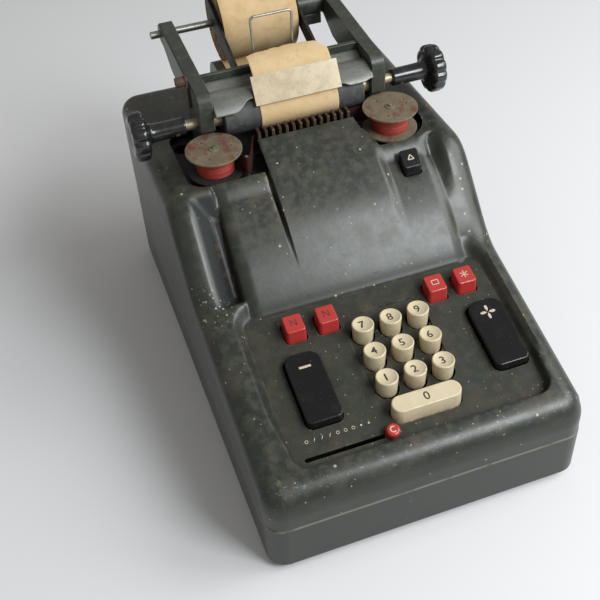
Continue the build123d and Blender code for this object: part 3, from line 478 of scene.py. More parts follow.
enamel.lay((2.2, 0.68, 0.7, 2, (0.5, 1.5, 1)), (0.012, 0.012, 0.01), 0.6, 0.7)
enamel.relief((0.9, 0.3, 0.7, 3), 0.012)
enamel.relief((12, 0.3, 0.7, 2), 0.05)

top_cover = piece("top_cover_shell", points, faces, "base", enamel.done(), 40, attributes)
skin = top_cover.modifiers.new("skin", "SOLIDIFY")
skin.thickness = 2.0 * MM
skin.offset = -1
thickened = top_cover.evaluated_get(bpy.context.evaluated_depsgraph_get())
top_cover_mesh = bpy.data.meshes.new_from_object(thickened)
top_cover.modifiers.clear()
top_cover.data = top_cover_mesh
top_cover_mesh.set_sharp_from_angle(angle=math.radians(40))
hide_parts("top_cover")


# ---------------------------------------------------------------- base pan, feet and rear inlet
# A shallow pressed pan under the cover, in the same enamel, on four black rubber feet; the mains
# socket is a black moulding in its rear wall.
pan = Finish("pan_enamel", (0.025, 0.03, 0.024), 0.36, coat=0.2, specular=0.4, coat_roughness=0.3)
pan.lay((40, 0.35, 0.7), (0.038, 0.041, 0.034), 0.45, 0.8)
pan.lay((5, 0.45, 0.72, 6), (0.06, 0.055, 0.042), 0.6, 0.45)
pan.lay(pan.both(pan.edges(0.8), (7, 0.42, 0.56)), (0.18, 0.17, 0.135), 0.5, 0.7)
pan.lay(pan.both(pan.between_heights(40.9, 41.4), (9, 0.3, 0.5)), (0.22, 0.205, 0.16), 0.6, 0.85)
pan.lay(pan.flecks(7, 0.5, 0.56), (0.4, 0.39, 0.35), 0.6, 0.8)
pan.relief((0.9, 0.3, 0.7, 3), 0.012)


def coat_node(material, *names):
    """Give CAD nodes this finish."""
    for name in names:
        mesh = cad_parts[name].data
        mesh.materials.clear()
        mesh.materials.append(material)


coat_node(pan.done(0.4), "base_pan")

rubber = Finish("foot_rubber", (0.028, 0.027, 0.026), 0.75)
rubber.lay((6, 0.45, 0.65), (0.07, 0.062, 0.052), 0.85, 0.5)
rubber.relief((0.8, 0.3, 0.7), 0.02)
coat_node(rubber.done(), "rubber_feet")

moulding = Finish("inlet_moulding", (0.017, 0.016, 0.016), 0.42)
moulding.lay((5, 0.45, 0.65), (0.05, 0.045, 0.04), 0.7, 0.5)
coat_node(moulding.done(0.3), "power_inlet")


# ---------------------------------------------------------------- keyboard plate
# A flat pressed plate let into the cover, in flat dark enamel that decades of dust have browned
# round the keys, with painted shade near black close round the keys and bars; a shallow ridge frames the
# digit keys.
plate = Finish("plate_enamel", (0.025, 0.028, 0.02), 0.5, specular=0.35)
plate.lay((30, 0.35, 0.65), (0.034, 0.036, 0.026), 0.55, 0.8)
plate.lay((8, 0.42, 0.68, 6), (0.05, 0.049, 0.035), 0.65, 0.6)
plate.lay((17, 0.52, 0.68, 6), (0.07, 0.052, 0.031), 0.75, 0.5)
# painted shade: near black where the keys, bars and cover stand close round the plate
plate.lay(plate.both(plate.hollows(9), (5, 0.3, 0.6, 5)), (0.014, 0.01, 0.006), 0.85, 0.9)
plate.lay(plate.both(plate.hollows(4), (6, 0.52, 0.62, 5)), (0.1, 0.06, 0.03), 0.85, 0.6)
plate.lay(plate.both(plate.edges(1.2), (8, 0.4, 0.55)), (0.16, 0.15, 0.11), 0.6, 0.6)
plate.lay(plate.flecks(4, 0.5, 0.5), (0.3, 0.28, 0.22), 0.6, 0.8)
plate.lay((1.6, 0.67, 0.71, 3, (2.5, 0.4, 1)), (0.22, 0.2, 0.15), 0.6, 0.5)
plate.relief((0.9, 0.3, 0.7, 3), 0.015)
coat_node(plate.done(0.3), "keyboard_plate")


# ---------------------------------------------------------------- digit keys and zero bar
# Moulded ivory caps, dished for the finger, yellowed with age, with brown dirt along the edges and a brown
# painted shade low down, where other parts stand close; the digits are thin black inlays lying in the dish,
# towards its back.
ivory = Finish("ivory", (0.66, 0.575, 0.39), 0.34, coat=0.15)
ivory.lay((9, 0.35, 0.7), (0.6, 0.5, 0.31), 0.4, 0.6)
ivory.lay(ivory.both(ivory.edges(1.8, 0.995, 0.9), (3, 0.42, 0.66, 6)), (0.33, 0.22, 0.11), 0.6, 0.75)
# painted shade, brown: the caps darkened low down, where other parts stand close
ivory.lay(ivory.both(ivory.hollows(7), (3, 0.3, 0.6, 5)), (0.3, 0.2, 0.1), 0.6, 0.75)
ivory.lay((1.4, 0.66, 0.72), (0.25, 0.17, 0.09), 0.6, 0.6)
ivory.relief((1.2, 0.3, 0.7), 0.01)
coat_node(ivory.done(0.3), *[f"key_{digit}" for digit in range(10)])

black_inlay = Finish("black_inlay", (0.03, 0.028, 0.026), 0.5)
black_inlay.lay((0.9, 0.5, 0.68), (0.16, 0.12, 0.08), 0.6, 0.6)
black_inlay = black_inlay.done()


PROUD = 0.05            # how far the middle of a sign lies above the surface that it is let into


def sign_mesh(text, size):
    """A digit as a flat outline with a little thickness, centred on the origin, in millimetres."""
    words = bpy.data.curves.new("sign", "FONT")
    words.body = text
    words.size = size * MM
    words.align_x, words.align_y = "CENTER", "CENTER"
    words.extrude = 0.04 * MM
    words.offset = 0.006 * size * MM
    words.resolution_u = 6
    holder = bpy.data.objects.new("sign", words)
    bpy.context.scene.collection.objects.link(holder)
    mesh = bpy.data.meshes.new_from_object(holder.evaluated_get(bpy.context.evaluated_depsgraph_get()))
    bpy.data.objects.remove(holder)
    points = np.array([v.co for v in mesh.vertices]) / MM
    middle = (points.max(0) + points.min(0)) / 2
    return points - [middle[0], middle[1], 0], [tuple(p.vertices) for p in mesh.polygons]


def tilted(points, angle, place):
    """Turn points about x by an angle, then move them to a place: x, distance from the front, height."""
    c, s = math.cos(angle), math.sin(angle)
    x, y, z = points.T
    return np.column_stack([x + place[0], y * c - z * s + place[1] + FRONT, y * s + z * c + place[2]])


DIGIT_SIZE, CAP_HEIGHT = 8.4, 10        # of a cap over the plate
DISH_DEPTH = 1.4
dish_radius = (6.5**2 + DISH_DEPTH**2) / (2 * DISH_DEPTH)
for digit in range(1, 10):
    row, column = divmod(digit - 1, 3)
    key_x, key_d = 12 + 19.7 * (column - 1), 57 + 20.0 * row
    points, faces = sign_mesh(str(digit), DIGIT_SIZE)
    points[:, :2] += (-0.4, 0.5)
    reach = np.hypot(points[:, 0], points[:, 1])
    points[:, 2] += dish_radius - DISH_DEPTH - np.sqrt(dish_radius**2 - reach**2) + 0.07
    points += [key_x, key_d + FRONT, plate_top(key_d) + CAP_HEIGHT]
    piece(f"digit_mark_{digit}", points, faces, f"digit_{digit}", black_inlay)
zero_place = (11, 37.5, plate_top(37.5) + CAP_HEIGHT - 0.5)
points, faces = sign_mesh("0", DIGIT_SIZE)
piece("digit_mark_0", tilted(points + [0, 0, PROUD], math.radians(9), zero_place), faces, "digit_0",
      black_inlay)


# ---------------------------------------------------------------- red function keys
# Four square keys in glossy red plastic with rounded edges: two with a stroke sign in black and
# two with pale signs, an open box and a star.
red = Finish("red_plastic", (0.46, 0.036, 0.03), 0.26, coat=0.35)
red.lay((5, 0.4, 0.7), (0.4, 0.035, 0.03), 0.34, 0.6)
red.lay(red.both(red.edges(1.2, 0.99, 0.88), (3, 0.45, 0.6)), (0.62, 0.12, 0.08), 0.4, 0.5)
red.lay((2.0, 0.62, 0.7, 6), (0.2, 0.03, 0.02), 0.6, 0.5)
red.relief((2, 0.3, 0.7), 0.01)
red = red.done(0.5)
coat_node(red, "key_repeat", "key_non_add", "key_subtotal", "key_total")
pale_inlay = Finish("pale_inlay", (0.62, 0.55, 0.42), 0.5)
pale_inlay.lay((0.8, 0.45, 0.65), (0.3, 0.2, 0.13), 0.6, 0.6)
pale_inlay = pale_inlay.done()


def slabs(outlines, thickness=0.05):
    """Flat slabs with these outlines, each lying on the xy plane and reaching as far above as below."""
    points, faces = [], []
    for outline in outlines:
        low = list(range(len(points), len(points) + len(outline)))
        high = [k + len(outline) for k in low]
        points += [(x, y, z) for z in (-thickness, thickness) for x, y in outline]
        faces += [low[::-1], high]
        faces += [[low[k - 1], low[k], high[k], high[k - 1]] for k in range(len(outline))]
    return np.array(points, float), faces


def strokes(lines, width):
    """Flat bars along straight lines, each given by its two ends."""
    outlines = []
    for x1, y1, x2, y2 in lines:
        start, end = np.array([x1, y1]), np.array([x2, y2])
        side = np.array([y1 - y2, x2 - x1]) * width / 2 / math.hypot(x2 - x1, y2 - y1)
        outlines.append([start - side, end - side, end + side, start + side])
    return slabs(outlines)


stroke_sign = [(-1.9, -2.3, -1.9, 2.3), (1.9, -2.3, 1.9, 2.3), (-1.9, 2.3, 1.9, -2.3)]
box_sign = [(-2.3, -1.7, 2.3, -1.7), (2.3, -2, 2.3, 2), (2.3, 1.7, -2.3, 1.7), (-2.3, 2, -2.3, -2)]
star_sign = [(3 * math.cos(a), 3 * math.sin(a), -3 * math.cos(a), -3 * math.sin(a))
             for a in np.radians([30, 90, 150])]
plate_angle = math.atan(PLATE_SLOPE)
red_top = plate_top(112.5) + 9.0
for name, key_x, lines, slot, material in (
        ("repeat", -50.4, stroke_sign, "black_plastic", black_inlay),
        ("non_add", -27.5, stroke_sign, "black_plastic", black_inlay),
        ("subtotal", 51.4, box_sign, "ivory", pale_inlay),
        ("total", 73.1, star_sign, "ivory", pale_inlay)):
    points, faces = strokes(lines, 0.6)
    points = tilted(points + [0, 0, PROUD], plate_angle, (key_x, 112.5, red_top))
    piece(f"{name}_mark", points, faces, name, material)


# ---------------------------------------------------------------- minus and plus bars
# Two long bars in glossy black plastic with rounded rear corners; an ivory dash marks the one,
# an ivory four-bladed cross the other.
black = Finish("black_plastic", (0.006, 0.006, 0.007), 0.22, coat=0.15, specular=0.35)
black.lay((12, 0.5, 0.8, 6), (0.03, 0.027, 0.023), 0.5, 0.3)
black.lay(black.both(black.edges(1.0, 0.99, 0.88), (4, 0.45, 0.6)), (0.12, 0.11, 0.1), 0.4, 0.5)
black.lay((1.5, 0.64, 0.72, 6), (0.12, 0.1, 0.08), 0.7, 0.4)
black.relief((1.5, 0.3, 0.7), 0.008)
black = black.done(0.6)
coat_node(black, "minus_bar", "plus_bar", "feed_key")
bar_d, bar_top = 69, plate_top(69) + 5.5
points, faces = strokes([(-4, 0, 4, 0)], 1.6)
piece("minus_mark", tilted(points + [0, 14, PROUD], plate_angle, (-53.6, bar_d, bar_top)), faces, "minus",
      pale_inlay)
blade = [(0.0, 0.6), (1.2, 2.6), (0.9, 5.0), (-0.2, 5.4), (-0.9, 4.2), (-0.7, 1.8)]
quarters = [(math.cos(t), math.sin(t)) for t in np.arange(4) * math.pi / 2]
points, faces = slabs([[(x * c - y * s, x * s + y * c) for x, y in blade] for c, s in quarters])
piece("plus_mark", tilted(points + [0, 14.5, PROUD], plate_angle, (76.8, bar_d, bar_top)), faces, "plus",
      pale_inlay)


# ---------------------------------------------------------------- correction slider and its scale
# A round red button on a blade that runs in a slot; it carries an open ring as its sign. Pale
# painted marks over the slot show the place: ring, three ticks, three rings and two dots.
coat_node(red, "correction_slider")


def ring_sign(radius, width, start=0.0, sweep=2 * math.pi, steps=28, thickness=0.05):
    """A flat ring, or part of one, of this middle radius and width, as a thin closed band."""
    closed = sweep == 2 * math.pi
    turn = start + np.linspace(0, sweep, steps + 1)[:steps if closed else None, None]
    far = radius + np.array([-width, width, width, -width]) / 2
    height = 0 * turn + np.array([-thickness, -thickness, thickness, thickness])
    points = np.stack([far * np.cos(turn), far * np.sin(turn), height], 2).reshape(-1, 3)
    faces = [f[::-1] for f in grid_faces(len(turn), 4, closed, True)]
    if not closed:
        last = len(points) - 4
        faces += [(0, 1, 2, 3), (last + 3, last + 2, last + 1, last)]
    return points, faces


slider_place = (-17.0, 26.5, plate_top(26.5))
points, faces = ring_sign(1.9, 0.8, math.radians(50), math.radians(260))
piece("slider_mark", tilted(points + [0, 0, 6.53], plate_angle, slider_place), faces, "slider",
      pale_inlay)

# the marks from left to right
points, faces = [], []
for k, mark_x in enumerate(np.linspace(-69.6, -28.1, 9)):
    if k == 0 or 4 <= k <= 6:
        more, shapes = ring_sign(1.0, 0.35, steps=16)
    elif k <= 3:
        more, shapes = strokes([(-0.6, -1.1, 0.6, 1.1)], 0.4)
    else:
        more, shapes = ring_sign(0.35, 0.7, steps=10)
    start = sum(len(p) for p in points)
    points.append(more + [mark_x, 0, 0])
    faces += [[start + i for i in f] for f in shapes]
points = tilted(np.concatenate(points) + [0, 0, 0.04], plate_angle, (0, 37.8, plate_top(37.8)))
piece("scale_marks", points, faces, "base", pale_inlay)

points, faces = strokes([(-2.2, -1.5, 2.2, -1.5), (2.2, -1.5, 0, 2.0), (0, 2.0, -2.2, -1.5)], 0.7)
points = tilted(points + [0, 0, PROUD], math.radians(34), (64.5, 185, 151.5))
piece("feed_mark", points, faces, "feed", pale_inlay)


# ---------------------------------------------------------------- ribbon spools and windings
# Two stamped tin spools on posts, dull brown-grey with patches of rust; the ribbon's red winding
# shows between their discs. The lower deck under them is blackened steel.
for side, colour, rust_size, rust_amount, pits in (
        ("right", (0.19, 0.15, 0.095), 11, 0.8, 0.62), ("left", (0.18, 0.14, 0.09), 10, 0.85, 0.6)):
    tin = Finish("spool_tin" if side == "right" else "left_spool_tin_with_painted_shade", colour, 0.55, metallic=0.25)
    tin.lay((9, 0.4, 0.65, 6), (0.25, 0.205, 0.13), 0.6, 0.7)
    tin.lay((rust_size, 0.5, 0.62, 5, (1, 0.6, 1)), (0.16, 0.055, 0.032), 0.8, rust_amount)
    tin.lay((1.6, pits, pits + 0.08, 4), (0.06, 0.045, 0.035), 0.8, 0.8)
    if side == "right":
        tin.lay(tin.flecks(2.6, 0.25, 0.5), (0.5, 0.45, 0.36), 0.6, 0.8)
    tin.lay(tin.edges(0.6, 0.98, 0.85), (0.36, 0.33, 0.26), 0.5, 0.6)
    if side == "left":      # its lower disc lies in the dark of the well
        # painted shade: the lower disc painted near black
        tin.lay(tin.between_heights(166, 160), (0.02, 0.018, 0.02), 0.6, 0.95)
    tin.relief((1.1, 0.3, 0.7, 5), 0.05)
    coat_node(tin.done(0.25), f"ribbon_spool_{side}")

steel = Finish("plain_steel", (0.42, 0.41, 0.38), 0.33, metallic=0.9)
steel.lay((4, 0.5, 0.7, 6), (0.2, 0.17, 0.14), 0.6, 0.6)
steel.lay((1.2, 0.62, 0.72, 4), (0.12, 0.07, 0.04), 0.7, 0.6)
steel = steel.done(0.15)

dark_steel = Finish("blackened_steel", (0.018, 0.017, 0.016), 0.5, metallic=0.4)
dark_steel.lay((5, 0.45, 0.68, 6), (0.05, 0.042, 0.034), 0.7, 0.6)
dark_steel.lay(dark_steel.both(dark_steel.edges(0.5), (4, 0.42, 0.6)), (0.14, 0.12, 0.1), 0.45, 0.6)
dark_steel = dark_steel.done(0.2)
coat_node(steel, "spool_posts")
coat_node(dark_steel, "spool_deck")

winding = Finish("ribbon_red", (0.33, 0.03, 0.018), 0.65)
winding.lay((3, 0.4, 0.7, 4, (1, 1, 6)), (0.2, 0.02, 0.015), 0.7, 0.8)
winding.lay((0.8, 0.45, 0.65, 3, (1, 1, 8)), (0.42, 0.06, 0.035), 0.6, 0.5)
winding = winding.done()


def turned_x(profile, centre_d, centre_z, steps=64, flutes=0, depth=0.0, flute_from=1e9):
    """A surface of revolution about a line along x: (x, radius) points swept round it.

    Where the radius is past `flute_from` it dips by `depth`, `flutes` times round.
    """
    profile = np.asarray(profile, float)
    turn = np.linspace(0, 2 * math.pi, steps, endpoint=False)
    dip = smooth_step(profile[:, 1], flute_from - 3, flute_from) * depth
    wave = 0.5 + 0.5 * np.cos(flutes * turn)
    radius = profile[:, 1][:, None] - dip[:, None] * wave[None] ** 3
    x = np.repeat(profile[:, 0], steps)
    y = (centre_d + FRONT + radius * np.cos(turn)).ravel()
    z = (centre_z + radius * np.sin(turn)).ravel()
    return np.column_stack([x, y, z]), grid_faces(len(profile), steps, close_columns=True)


def closed_ends(faces, rows, steps):
    """Close the first and last ring of a swept surface with a flat many-sided face."""
    return faces + [tuple(range(steps - 1, -1, -1)), tuple(range((rows - 1) * steps, rows * steps))]


def faced_out(made):
    """Turn a closed piece's faces outwards."""
    shape = bmesh.new()
    shape.from_mesh(made.data)
    bmesh.ops.recalc_face_normals(shape, faces=shape.faces)
    shape.to_mesh(made.data)
    shape.free()
    return made


def rounded(profile, times=3):
    """A run of points with its corners cut again and again, which rounds them; the ends stay."""
    profile = np.asarray(profile, float)
    for _ in range(times):
        near = profile[:-1] * 0.75 + profile[1:] * 0.25
        far = profile[:-1] * 0.25 + profile[1:] * 0.75
        between = np.stack([near, far], 1).reshape(-1, profile.shape[1])
        profile = np.concatenate([profile[:1], between, profile[-1:]])
    return profile


for name, side in (("left", -1), ("right", 1)):
    # wound layers: the radius ripples finely over the height
    height = np.linspace(154.55, 168.95, 40)
    layers = 13.0 + 0.12 * np.sin(height * 9.0) + 0.08 * np.sin(height * 23.0 + side)
    height = np.concatenate([[154.5], height, [169.0]])[:, None]
    layers = np.concatenate([[6.2], layers, [6.2]])[:, None]
    turn = np.linspace(0, 2 * math.pi, 72, endpoint=False)
    points = np.stack([side * 65.2 + layers * np.cos(turn), 222.8 + FRONT + layers * np.sin(turn),
                       height + 0 * turn], 2).reshape(-1, 3)
    faces = grid_faces(len(height), 72, True, True)
    pack = piece(f"winding_{name}", points, faces, f"{name}_spool", winding)
    faced_out(pack)
    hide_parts(f"ribbon_pack_{name}")


# ---------------------------------------------------------------- ribbon between the spools
# A cloth ribbon 13 mm wide, inked dark, from the left spool round a guide, behind the comb and
# on to the right spool.
cloth = Finish("ribbon_cloth", (0.035, 0.008, 0.007), 0.85, specular=0.2)
cloth.lay((3, 0.4, 0.7), (0.016, 0.008, 0.007), 0.85, 0.7)
cloth = cloth.done()
ribbon_line = rounded([(-52.14, 226.94), (-48.2, 208.6), (-46.9, 206.4), (-44.6, 207.2), (-38, 222),
                       (-34.2, 234.6), (41, 234.6), (64.1, 236.46)], 2)
steps = len(ribbon_line)
onward = np.gradient(ribbon_line, axis=0)
onward /= np.linalg.norm(onward, axis=1)[:, None]
half_thickness = onward[:, ::-1] * [-0.15, 0.15]
inner_face, outer_face = ribbon_line - half_thickness, ribbon_line + half_thickness
plan = np.stack([inner_face, outer_face, outer_face, inner_face], 1).reshape(-1, 2)
height = np.tile([155.5, 155.5, 168.5, 168.5], steps)
points = np.column_stack([plan[:, 0], plan[:, 1] + FRONT, height])
faces = closed_ends(grid_faces(steps, 4, close_columns=True), steps, 4)
ribbon = faced_out(piece("ribbon", points, faces, "base", cloth))
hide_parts("ribbon_run")


# ---------------------------------------------------------------- type comb and type bars
# Fourteen thin steel ribs, browned and bright at their tips, guide the type bars between them.
browned = Finish("browned_steel", (0.055, 0.034, 0.02), 0.5, metallic=0.5)
browned.lay((2.5, 0.4, 0.65, 5), (0.11, 0.075, 0.045), 0.6, 0.7)
browned.lay(browned.both(browned.edges(0.7, 0.97, 0.8), (3, 0.4, 0.6)), (0.42, 0.34, 0.24), 0.4, 0.75)
coat_node(browned.done(0.3), "type_comb")
coat_node(dark_steel, "type_bars")


# ---------------------------------------------------------------- platen, its shaft and the knobs
# A hard rubber roller, grey with paper dust, on a steel shaft; black fluted knobs on long stems
# are held by a set screw.
PLATEN_D, PLATEN_Z = 250, 176          # the axis: distance from the front, height
platen = Finish("platen_rubber", (0.045, 0.046, 0.046), 0.55)
platen.lay((6, 0.4, 0.68, 6), (0.095, 0.096, 0.094), 0.65, 0.7)
platen.lay((2.4, 0.58, 0.68, 5, (3, 1, 1)), (0.15, 0.148, 0.14), 0.7, 0.5)
coat_node(platen.done(), "platen_roller")
brass = Finish("dull_brass", (0.5, 0.44, 0.32), 0.42, metallic=0.7)
brass.lay((3, 0.45, 0.65, 5), (0.3, 0.22, 0.13), 0.6, 0.7)
coat_node(brass.done(), "platen_shaft")

knob_black = Finish("knob_black", (0.01, 0.01, 0.011), 0.22, coat=0.35)
knob_black.lay((5, 0.45, 0.72, 6), (0.05, 0.047, 0.043), 0.5, 0.4)
knob_black.lay((1.4, 0.66, 0.74, 3), (0.1, 0.085, 0.07), 0.6, 0.3)
knob_black = knob_black.done()
screw_brown = Finish("screw_brown", (0.22, 0.13, 0.07), 0.5, metallic=0.6)
screw_brown.lay((1, 0.4, 0.65), (0.1, 0.055, 0.03), 0.7, 0.7)
screw_brown = screw_brown.done()
knob_side = rounded([(77.6, 3.6), (77.6, 6.2), (79.5, 6.3), (99.5, 6.3), (103.0, 7.4), (104.0, 10.5),
                     (104.6, 14.6), (106.2, 17.2), (110, 17.3), (113.6, 17.2), (115.6, 15.2), (116, 11.5),
                     (115.0, 8.5), (114.6, 5.0), (114.6, 0.3)], 3)
screw_side = [(1.5, -0.4), (1.5, 0.25), (1.2, 0.4), (0.55, 0.4), (0.5, 0.0)]     # radius, height
for name, side in (("left", -1), ("right", 1)):
    points, faces = turned_x(knob_side * [side, 1], PLATEN_D, PLATEN_Z, 120, 11, 1.5, 15.5)
    faces = closed_ends(faces, len(knob_side), 120)
    knob = piece(f"fluted_knob_{name}", points, faces, "platen", knob_black, sharp=60)
    faced_out(knob)
    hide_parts(f"knob_{name}")
    turn = math.radians(205 if side < 0 else 215)
    axis = np.array([0, math.cos(turn), math.sin(turn)])
    across_axis = np.array([[1, 0, 0], [0, -math.sin(turn), math.cos(turn)]])
    seat = [side * 84.0, PLATEN_D + FRONT, PLATEN_Z] + 6.1 * axis
    around = np.linspace(0, 2 * math.pi, 20, endpoint=False)
    circle = np.column_stack([np.cos(around), np.sin(around)]) @ across_axis
    points = np.concatenate([seat + circle * radius + axis * height for radius, height in screw_side])
    faces = closed_ends(grid_faces(len(screw_side), 20, close_columns=True), len(screw_side), 20)
    faced_out(piece(f"set_screw_{name}", points, faces, "platen", screw_brown))


# ---------------------------------------------------------------- carriage arms
# Two cast arms in the housing's grey-green enamel carry the platen between them and the paper
# roll behind; their edges have worn pale.
arm = Finish("arm_enamel", (0.034, 0.039, 0.03), 0.38, coat=0.1, specular=0.4)
arm.lay((16, 0.35, 0.7), (0.05, 0.054, 0.043), 0.45, 0.8)
arm.lay((4, 0.45, 0.7, 6), (0.085, 0.083, 0.066), 0.6, 0.45)
arm.lay(arm.both(arm.edges(1.2), (7, 0.38, 0.56)), (0.26, 0.26, 0.23), 0.5, 0.8)
arm.lay(arm.flecks(4.5, 0.3, 0.55), (0.42, 0.4, 0.35), 0.6, 0.8)
arm.relief((0.9, 0.3, 0.7, 3), 0.015)
coat_node(arm.done(0.9), "carriage_arm_left", "carriage_arm_right", "roll_hub", "cross_plate")
coat_node(dark_steel, "roll_side_bars")
coat_node(steel, "roll_axle", "wire_bail")


# ---------------------------------------------------------------- platen cover
# A sheet-metal half tube over the platen, in satin grey; its two wings reach further down at the
# sides of the paper, with a curved lower edge.
satin = Finish("satin_grey", (0.15, 0.155, 0.135), 0.34, metallic=0.25)
satin.lay((9, 0.4, 0.7, 5, (0.4, 1, 1)), (0.24, 0.235, 0.21), 0.42, 0.7)
satin.lay((3, 0.5, 0.72, 6), (0.11, 0.105, 0.09), 0.55, 0.5)
satin.lay(satin.both(satin.edges(0.7), (5, 0.4, 0.6)), (0.45, 0.44, 0.38), 0.4, 0.7)
satin.relief((1.2, 0.3, 0.7), 0.01)
satin = satin.done()
cover_x = np.concatenate([np.linspace(-58.2, -29.2, 30), np.linspace(-28.9, 34.2, 40),
                          np.linspace(34.5, 58.2, 25)])

# the angles round the platen's axis where the sheet bends from flat to round, and where it ends
bend_angle = 56.0
left_edge = 147 - 25 * smooth_step(cover_x, -44, -31)
right_edge = 136 + 8 * smooth_step(cover_x, 35, 41) - 6 * smooth_step(cover_x, 50, 58)
middle_part = (cover_x > -29) & (cover_x < 34.4)
low_edge = np.where(middle_part, 104, np.where(cover_x < 0, left_edge, right_edge))


def round_platen(turn, radius):
    """Points of a circle round the platen's axis, at these angles: distances, heights."""
    return np.stack([PLATEN_D + radius * np.cos(turn), PLATEN_Z + radius * np.sin(turn)])


COVER_RADIUS = 17.7
turn = np.radians(bend_angle + (low_edge - bend_angle) * np.linspace(0, 1, 40)[:, None])
back = np.array([267.6, 194.3])[:, None, None]
bend = round_platen(np.full((1, len(cover_x)), math.radians(bend_angle)), COVER_RADIUS)
flat_part = back + (bend - back) * np.linspace(0, 1, 6)[:-1, None]
d_all, z_all = np.concatenate([flat_part, round_platen(turn, COVER_RADIUS)], 1)
points = np.column_stack([np.tile(cover_x, len(d_all)), (d_all + FRONT).ravel(), z_all.ravel()])
faces = grid_faces(len(d_all), len(cover_x))
platen_cover = piece("platen_cover_sheet", points, faces, "base", satin)
wall = platen_cover.modifiers.new("wall", "SOLIDIFY")
wall.thickness = 1.4 * MM
wall.offset = 0
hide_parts("platen_cover")

window = Finish("window_strip", (0.5, 0.4, 0.235), 0.35, coat=0.2)
window.lay((8, 0.35, 0.65, 5), (0.42, 0.33, 0.2), 0.5, 0.8)
window.lay((2, 0.55, 0.7, 5), (0.3, 0.26, 0.19), 0.6, 0.5)
coat_node(window.done(), "tear_window")


# ---------------------------------------------------------------- paper release lever
# A small browned steel lever outside the left arm.
oxide = Finish("oxide_red", (0.05, 0.02, 0.014), 0.6)
oxide.lay((3, 0.4, 0.65), (0.1, 0.05, 0.032), 0.7, 0.7)
coat_node(oxide.done(0.4), "release_lever")


# ---------------------------------------------------------------- paper roll and paper strip
# Tan tally paper. The roll's end shows its wound edge, brown with dirt and darkened by painted shade;
# the strip runs from under the roll, round the platen and up through the window, and is torn off unevenly.
paper = Finish("tally_paper", (0.6, 0.43, 0.22), 0.8)
paper.lay((18, 0.35, 0.65), (0.66, 0.49, 0.28), 0.8, 0.8)
paper.lay((5, 0.5, 0.7, 6), (0.5, 0.33, 0.155), 0.85, 0.45)
paper.relief((3, 0.3, 0.7), 0.03)

roll_end = Finish("roll_paper", (0.58, 0.4, 0.19), 0.8)
roll_end.lay((18, 0.35, 0.65), (0.7, 0.51, 0.29), 0.8, 0.8)
roll_end.lay((6, 0.5, 0.7, 6, (0.5, 1, 1)), (0.52, 0.33, 0.15), 0.85, 0.5)
end_faces = roll_end.band(roll_end.sum("ABSOLUTE", roll_end.facing("X"), 0.0), 0.6, 0.9)
# dirt and painted shade: the roll's end faces dark brown
roll_end.lay(roll_end.both(end_faces, (7, 0.2, 0.6)), (0.16, 0.085, 0.04), 0.9, 0.95)
roll_end.lay(roll_end.both(end_faces, (1.2, 0.5, 0.6, 2, (0.2, 1, 1))), (0.05, 0.03, 0.02), 0.9, 0.6)
paper_left, paper_right = -25.95, 31.55
ROLL_D, ROLL_Z = 345, 197.5            # the roll's axis: distance from the front, height

# the roll's outline over its radius: hub, left face with its wound layers, rim, right face, hub
layers = np.arange(10.0, 27.6, 0.8)
left_face = np.column_stack([paper_left + 0.25 + 0.2 * np.cos(layers * 2 * math.pi / 1.6), layers])
half = np.concatenate([[[paper_left + 5, 3.2], [paper_left + 5, 9.0], [paper_left + 0.3, 9.2]], left_face,
                       [[paper_left, 27.8], [paper_left + 0.4, 28.0]]])
other_half = half[::-1] * [-1, 1] + [paper_left + paper_right, 0]
roll_profile = np.concatenate([half, [[x, 28.0] for x in np.linspace(-20, 26, 12)], other_half])
points = turned_x(roll_profile, ROLL_D, ROLL_Z, 96)[0]
faces = grid_faces(len(roll_profile), 96, True, True)
roll_piece = faced_out(piece("wound_roll", points, faces, "roll", roll_end.done(), sharp=50))
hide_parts("paper_roll")

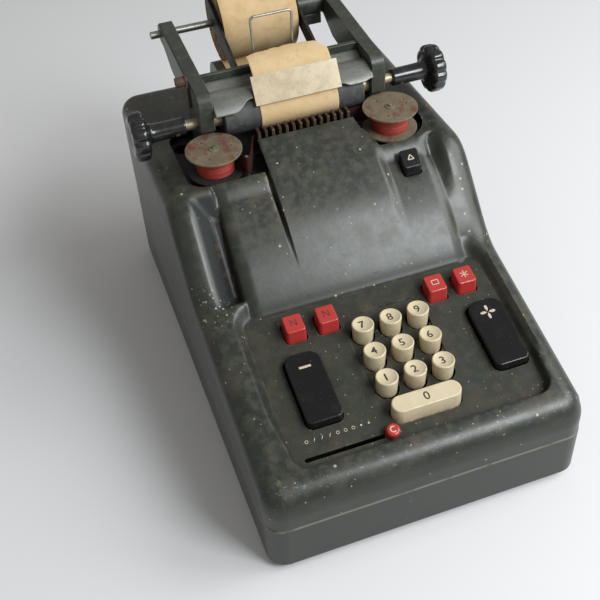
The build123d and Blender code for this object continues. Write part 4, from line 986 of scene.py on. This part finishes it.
# the strip's side view: straight to the platen, round it, straight up, then curled over to the rear
leave_angle, rise_angle = math.radians(-85.5), math.radians(150)
start = np.array([ROLL_D, ROLL_Z]) + 28.45 * np.array([math.cos(leave_angle), math.sin(leave_angle)])
on_platen = round_platen(np.linspace(leave_angle, rise_angle - 2 * math.pi, 50), 14.45).T
upward = np.array([math.sin(rise_angle), -math.cos(rise_angle)])
rise = on_platen[-1] + np.outer(np.linspace(0, 18, 12)[1:], upward)
t = np.linspace(0, 1, 18)[1:, None]
p0, p3 = rise[-1], np.array([267.0, 210.5])
p1, p2 = p0 + upward * 8.5, p3 - np.array([8, -0.8])
curl = (1 - t)**3 * p0 + 3 * (1 - t)**2 * t * p1 + 3 * (1 - t) * t**2 * p2 + t**3 * p3
web = start + (on_platen[0] - start) * np.linspace(0, 1, 30)[:-1, None]
strip_line = np.concatenate([web, on_platen, rise, curl])
run = np.concatenate([[0], np.cumsum(np.linalg.norm(np.diff(strip_line, axis=0), axis=1))])
full = run[-1]

# the torn end: the last part of the length is drawn out or in by a jagged amount, and curls sideways
torn_from = 0.86
across_paper = np.linspace(paper_left, paper_right, 60)
chance = np.random.default_rng(7)
jag = np.interp(across_paper, np.linspace(paper_left, paper_right, 15), chance.uniform(-1.4, 0.4, 15))
jag += chance.uniform(-0.25, 0.25, 60)
jag -= 9.0 * smooth_step(across_paper, 24, 31.5) + 2.0 * smooth_step(-across_paper, 18, 25)
reach = np.concatenate([np.linspace(0, torn_from, 110), np.linspace(torn_from, 1, 41)[1:]])[:, None]
towards_end = np.maximum(reach - torn_from, 0) / (1 - torn_from)
length_at = reach * full + towards_end * jag
d_strip = np.interp(length_at, run, strip_line[:, 0])
lift = towards_end * (0.9 * np.cos((across_paper - 3) / 28.0 * 2.2) - 0.6) * (length_at > full - 26)
z_strip = np.interp(length_at, run, strip_line[:, 1]) + lift
points = np.column_stack([np.tile(across_paper, len(reach)), (d_strip + FRONT).ravel(), z_strip.ravel()])
strip = piece("torn_strip", points, grid_faces(len(reach), 60), "base", paper.done())
sheet = strip.modifiers.new("sheet", "SOLIDIFY")
sheet.thickness = 0.16 * MM
sheet.offset = 0
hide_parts("paper_strip")


# ---------------------------------------------------------------- works inside the housing
# Pressed steel frames and plates, a black motor with copper windings, and steel shafts and gears;
# they show only through the wells and when the cover is lifted off.
coat_node(dark_steel, "side_frame_left", "side_frame_right", "key_guide_plate", "pin_carriage", "totalizer")
coat_node(steel, "frame_rods", "main_shaft", "main_gear", "motor_shaft", "carriage_rails")
motor_black = Finish("motor_black", (0.016, 0.016, 0.017), 0.5)
motor_black.lay((8, 0.4, 0.7), (0.035, 0.033, 0.03), 0.65, 0.6)
coat_node(motor_black.done(), "motor")

assert all(node.data.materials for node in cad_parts.values())
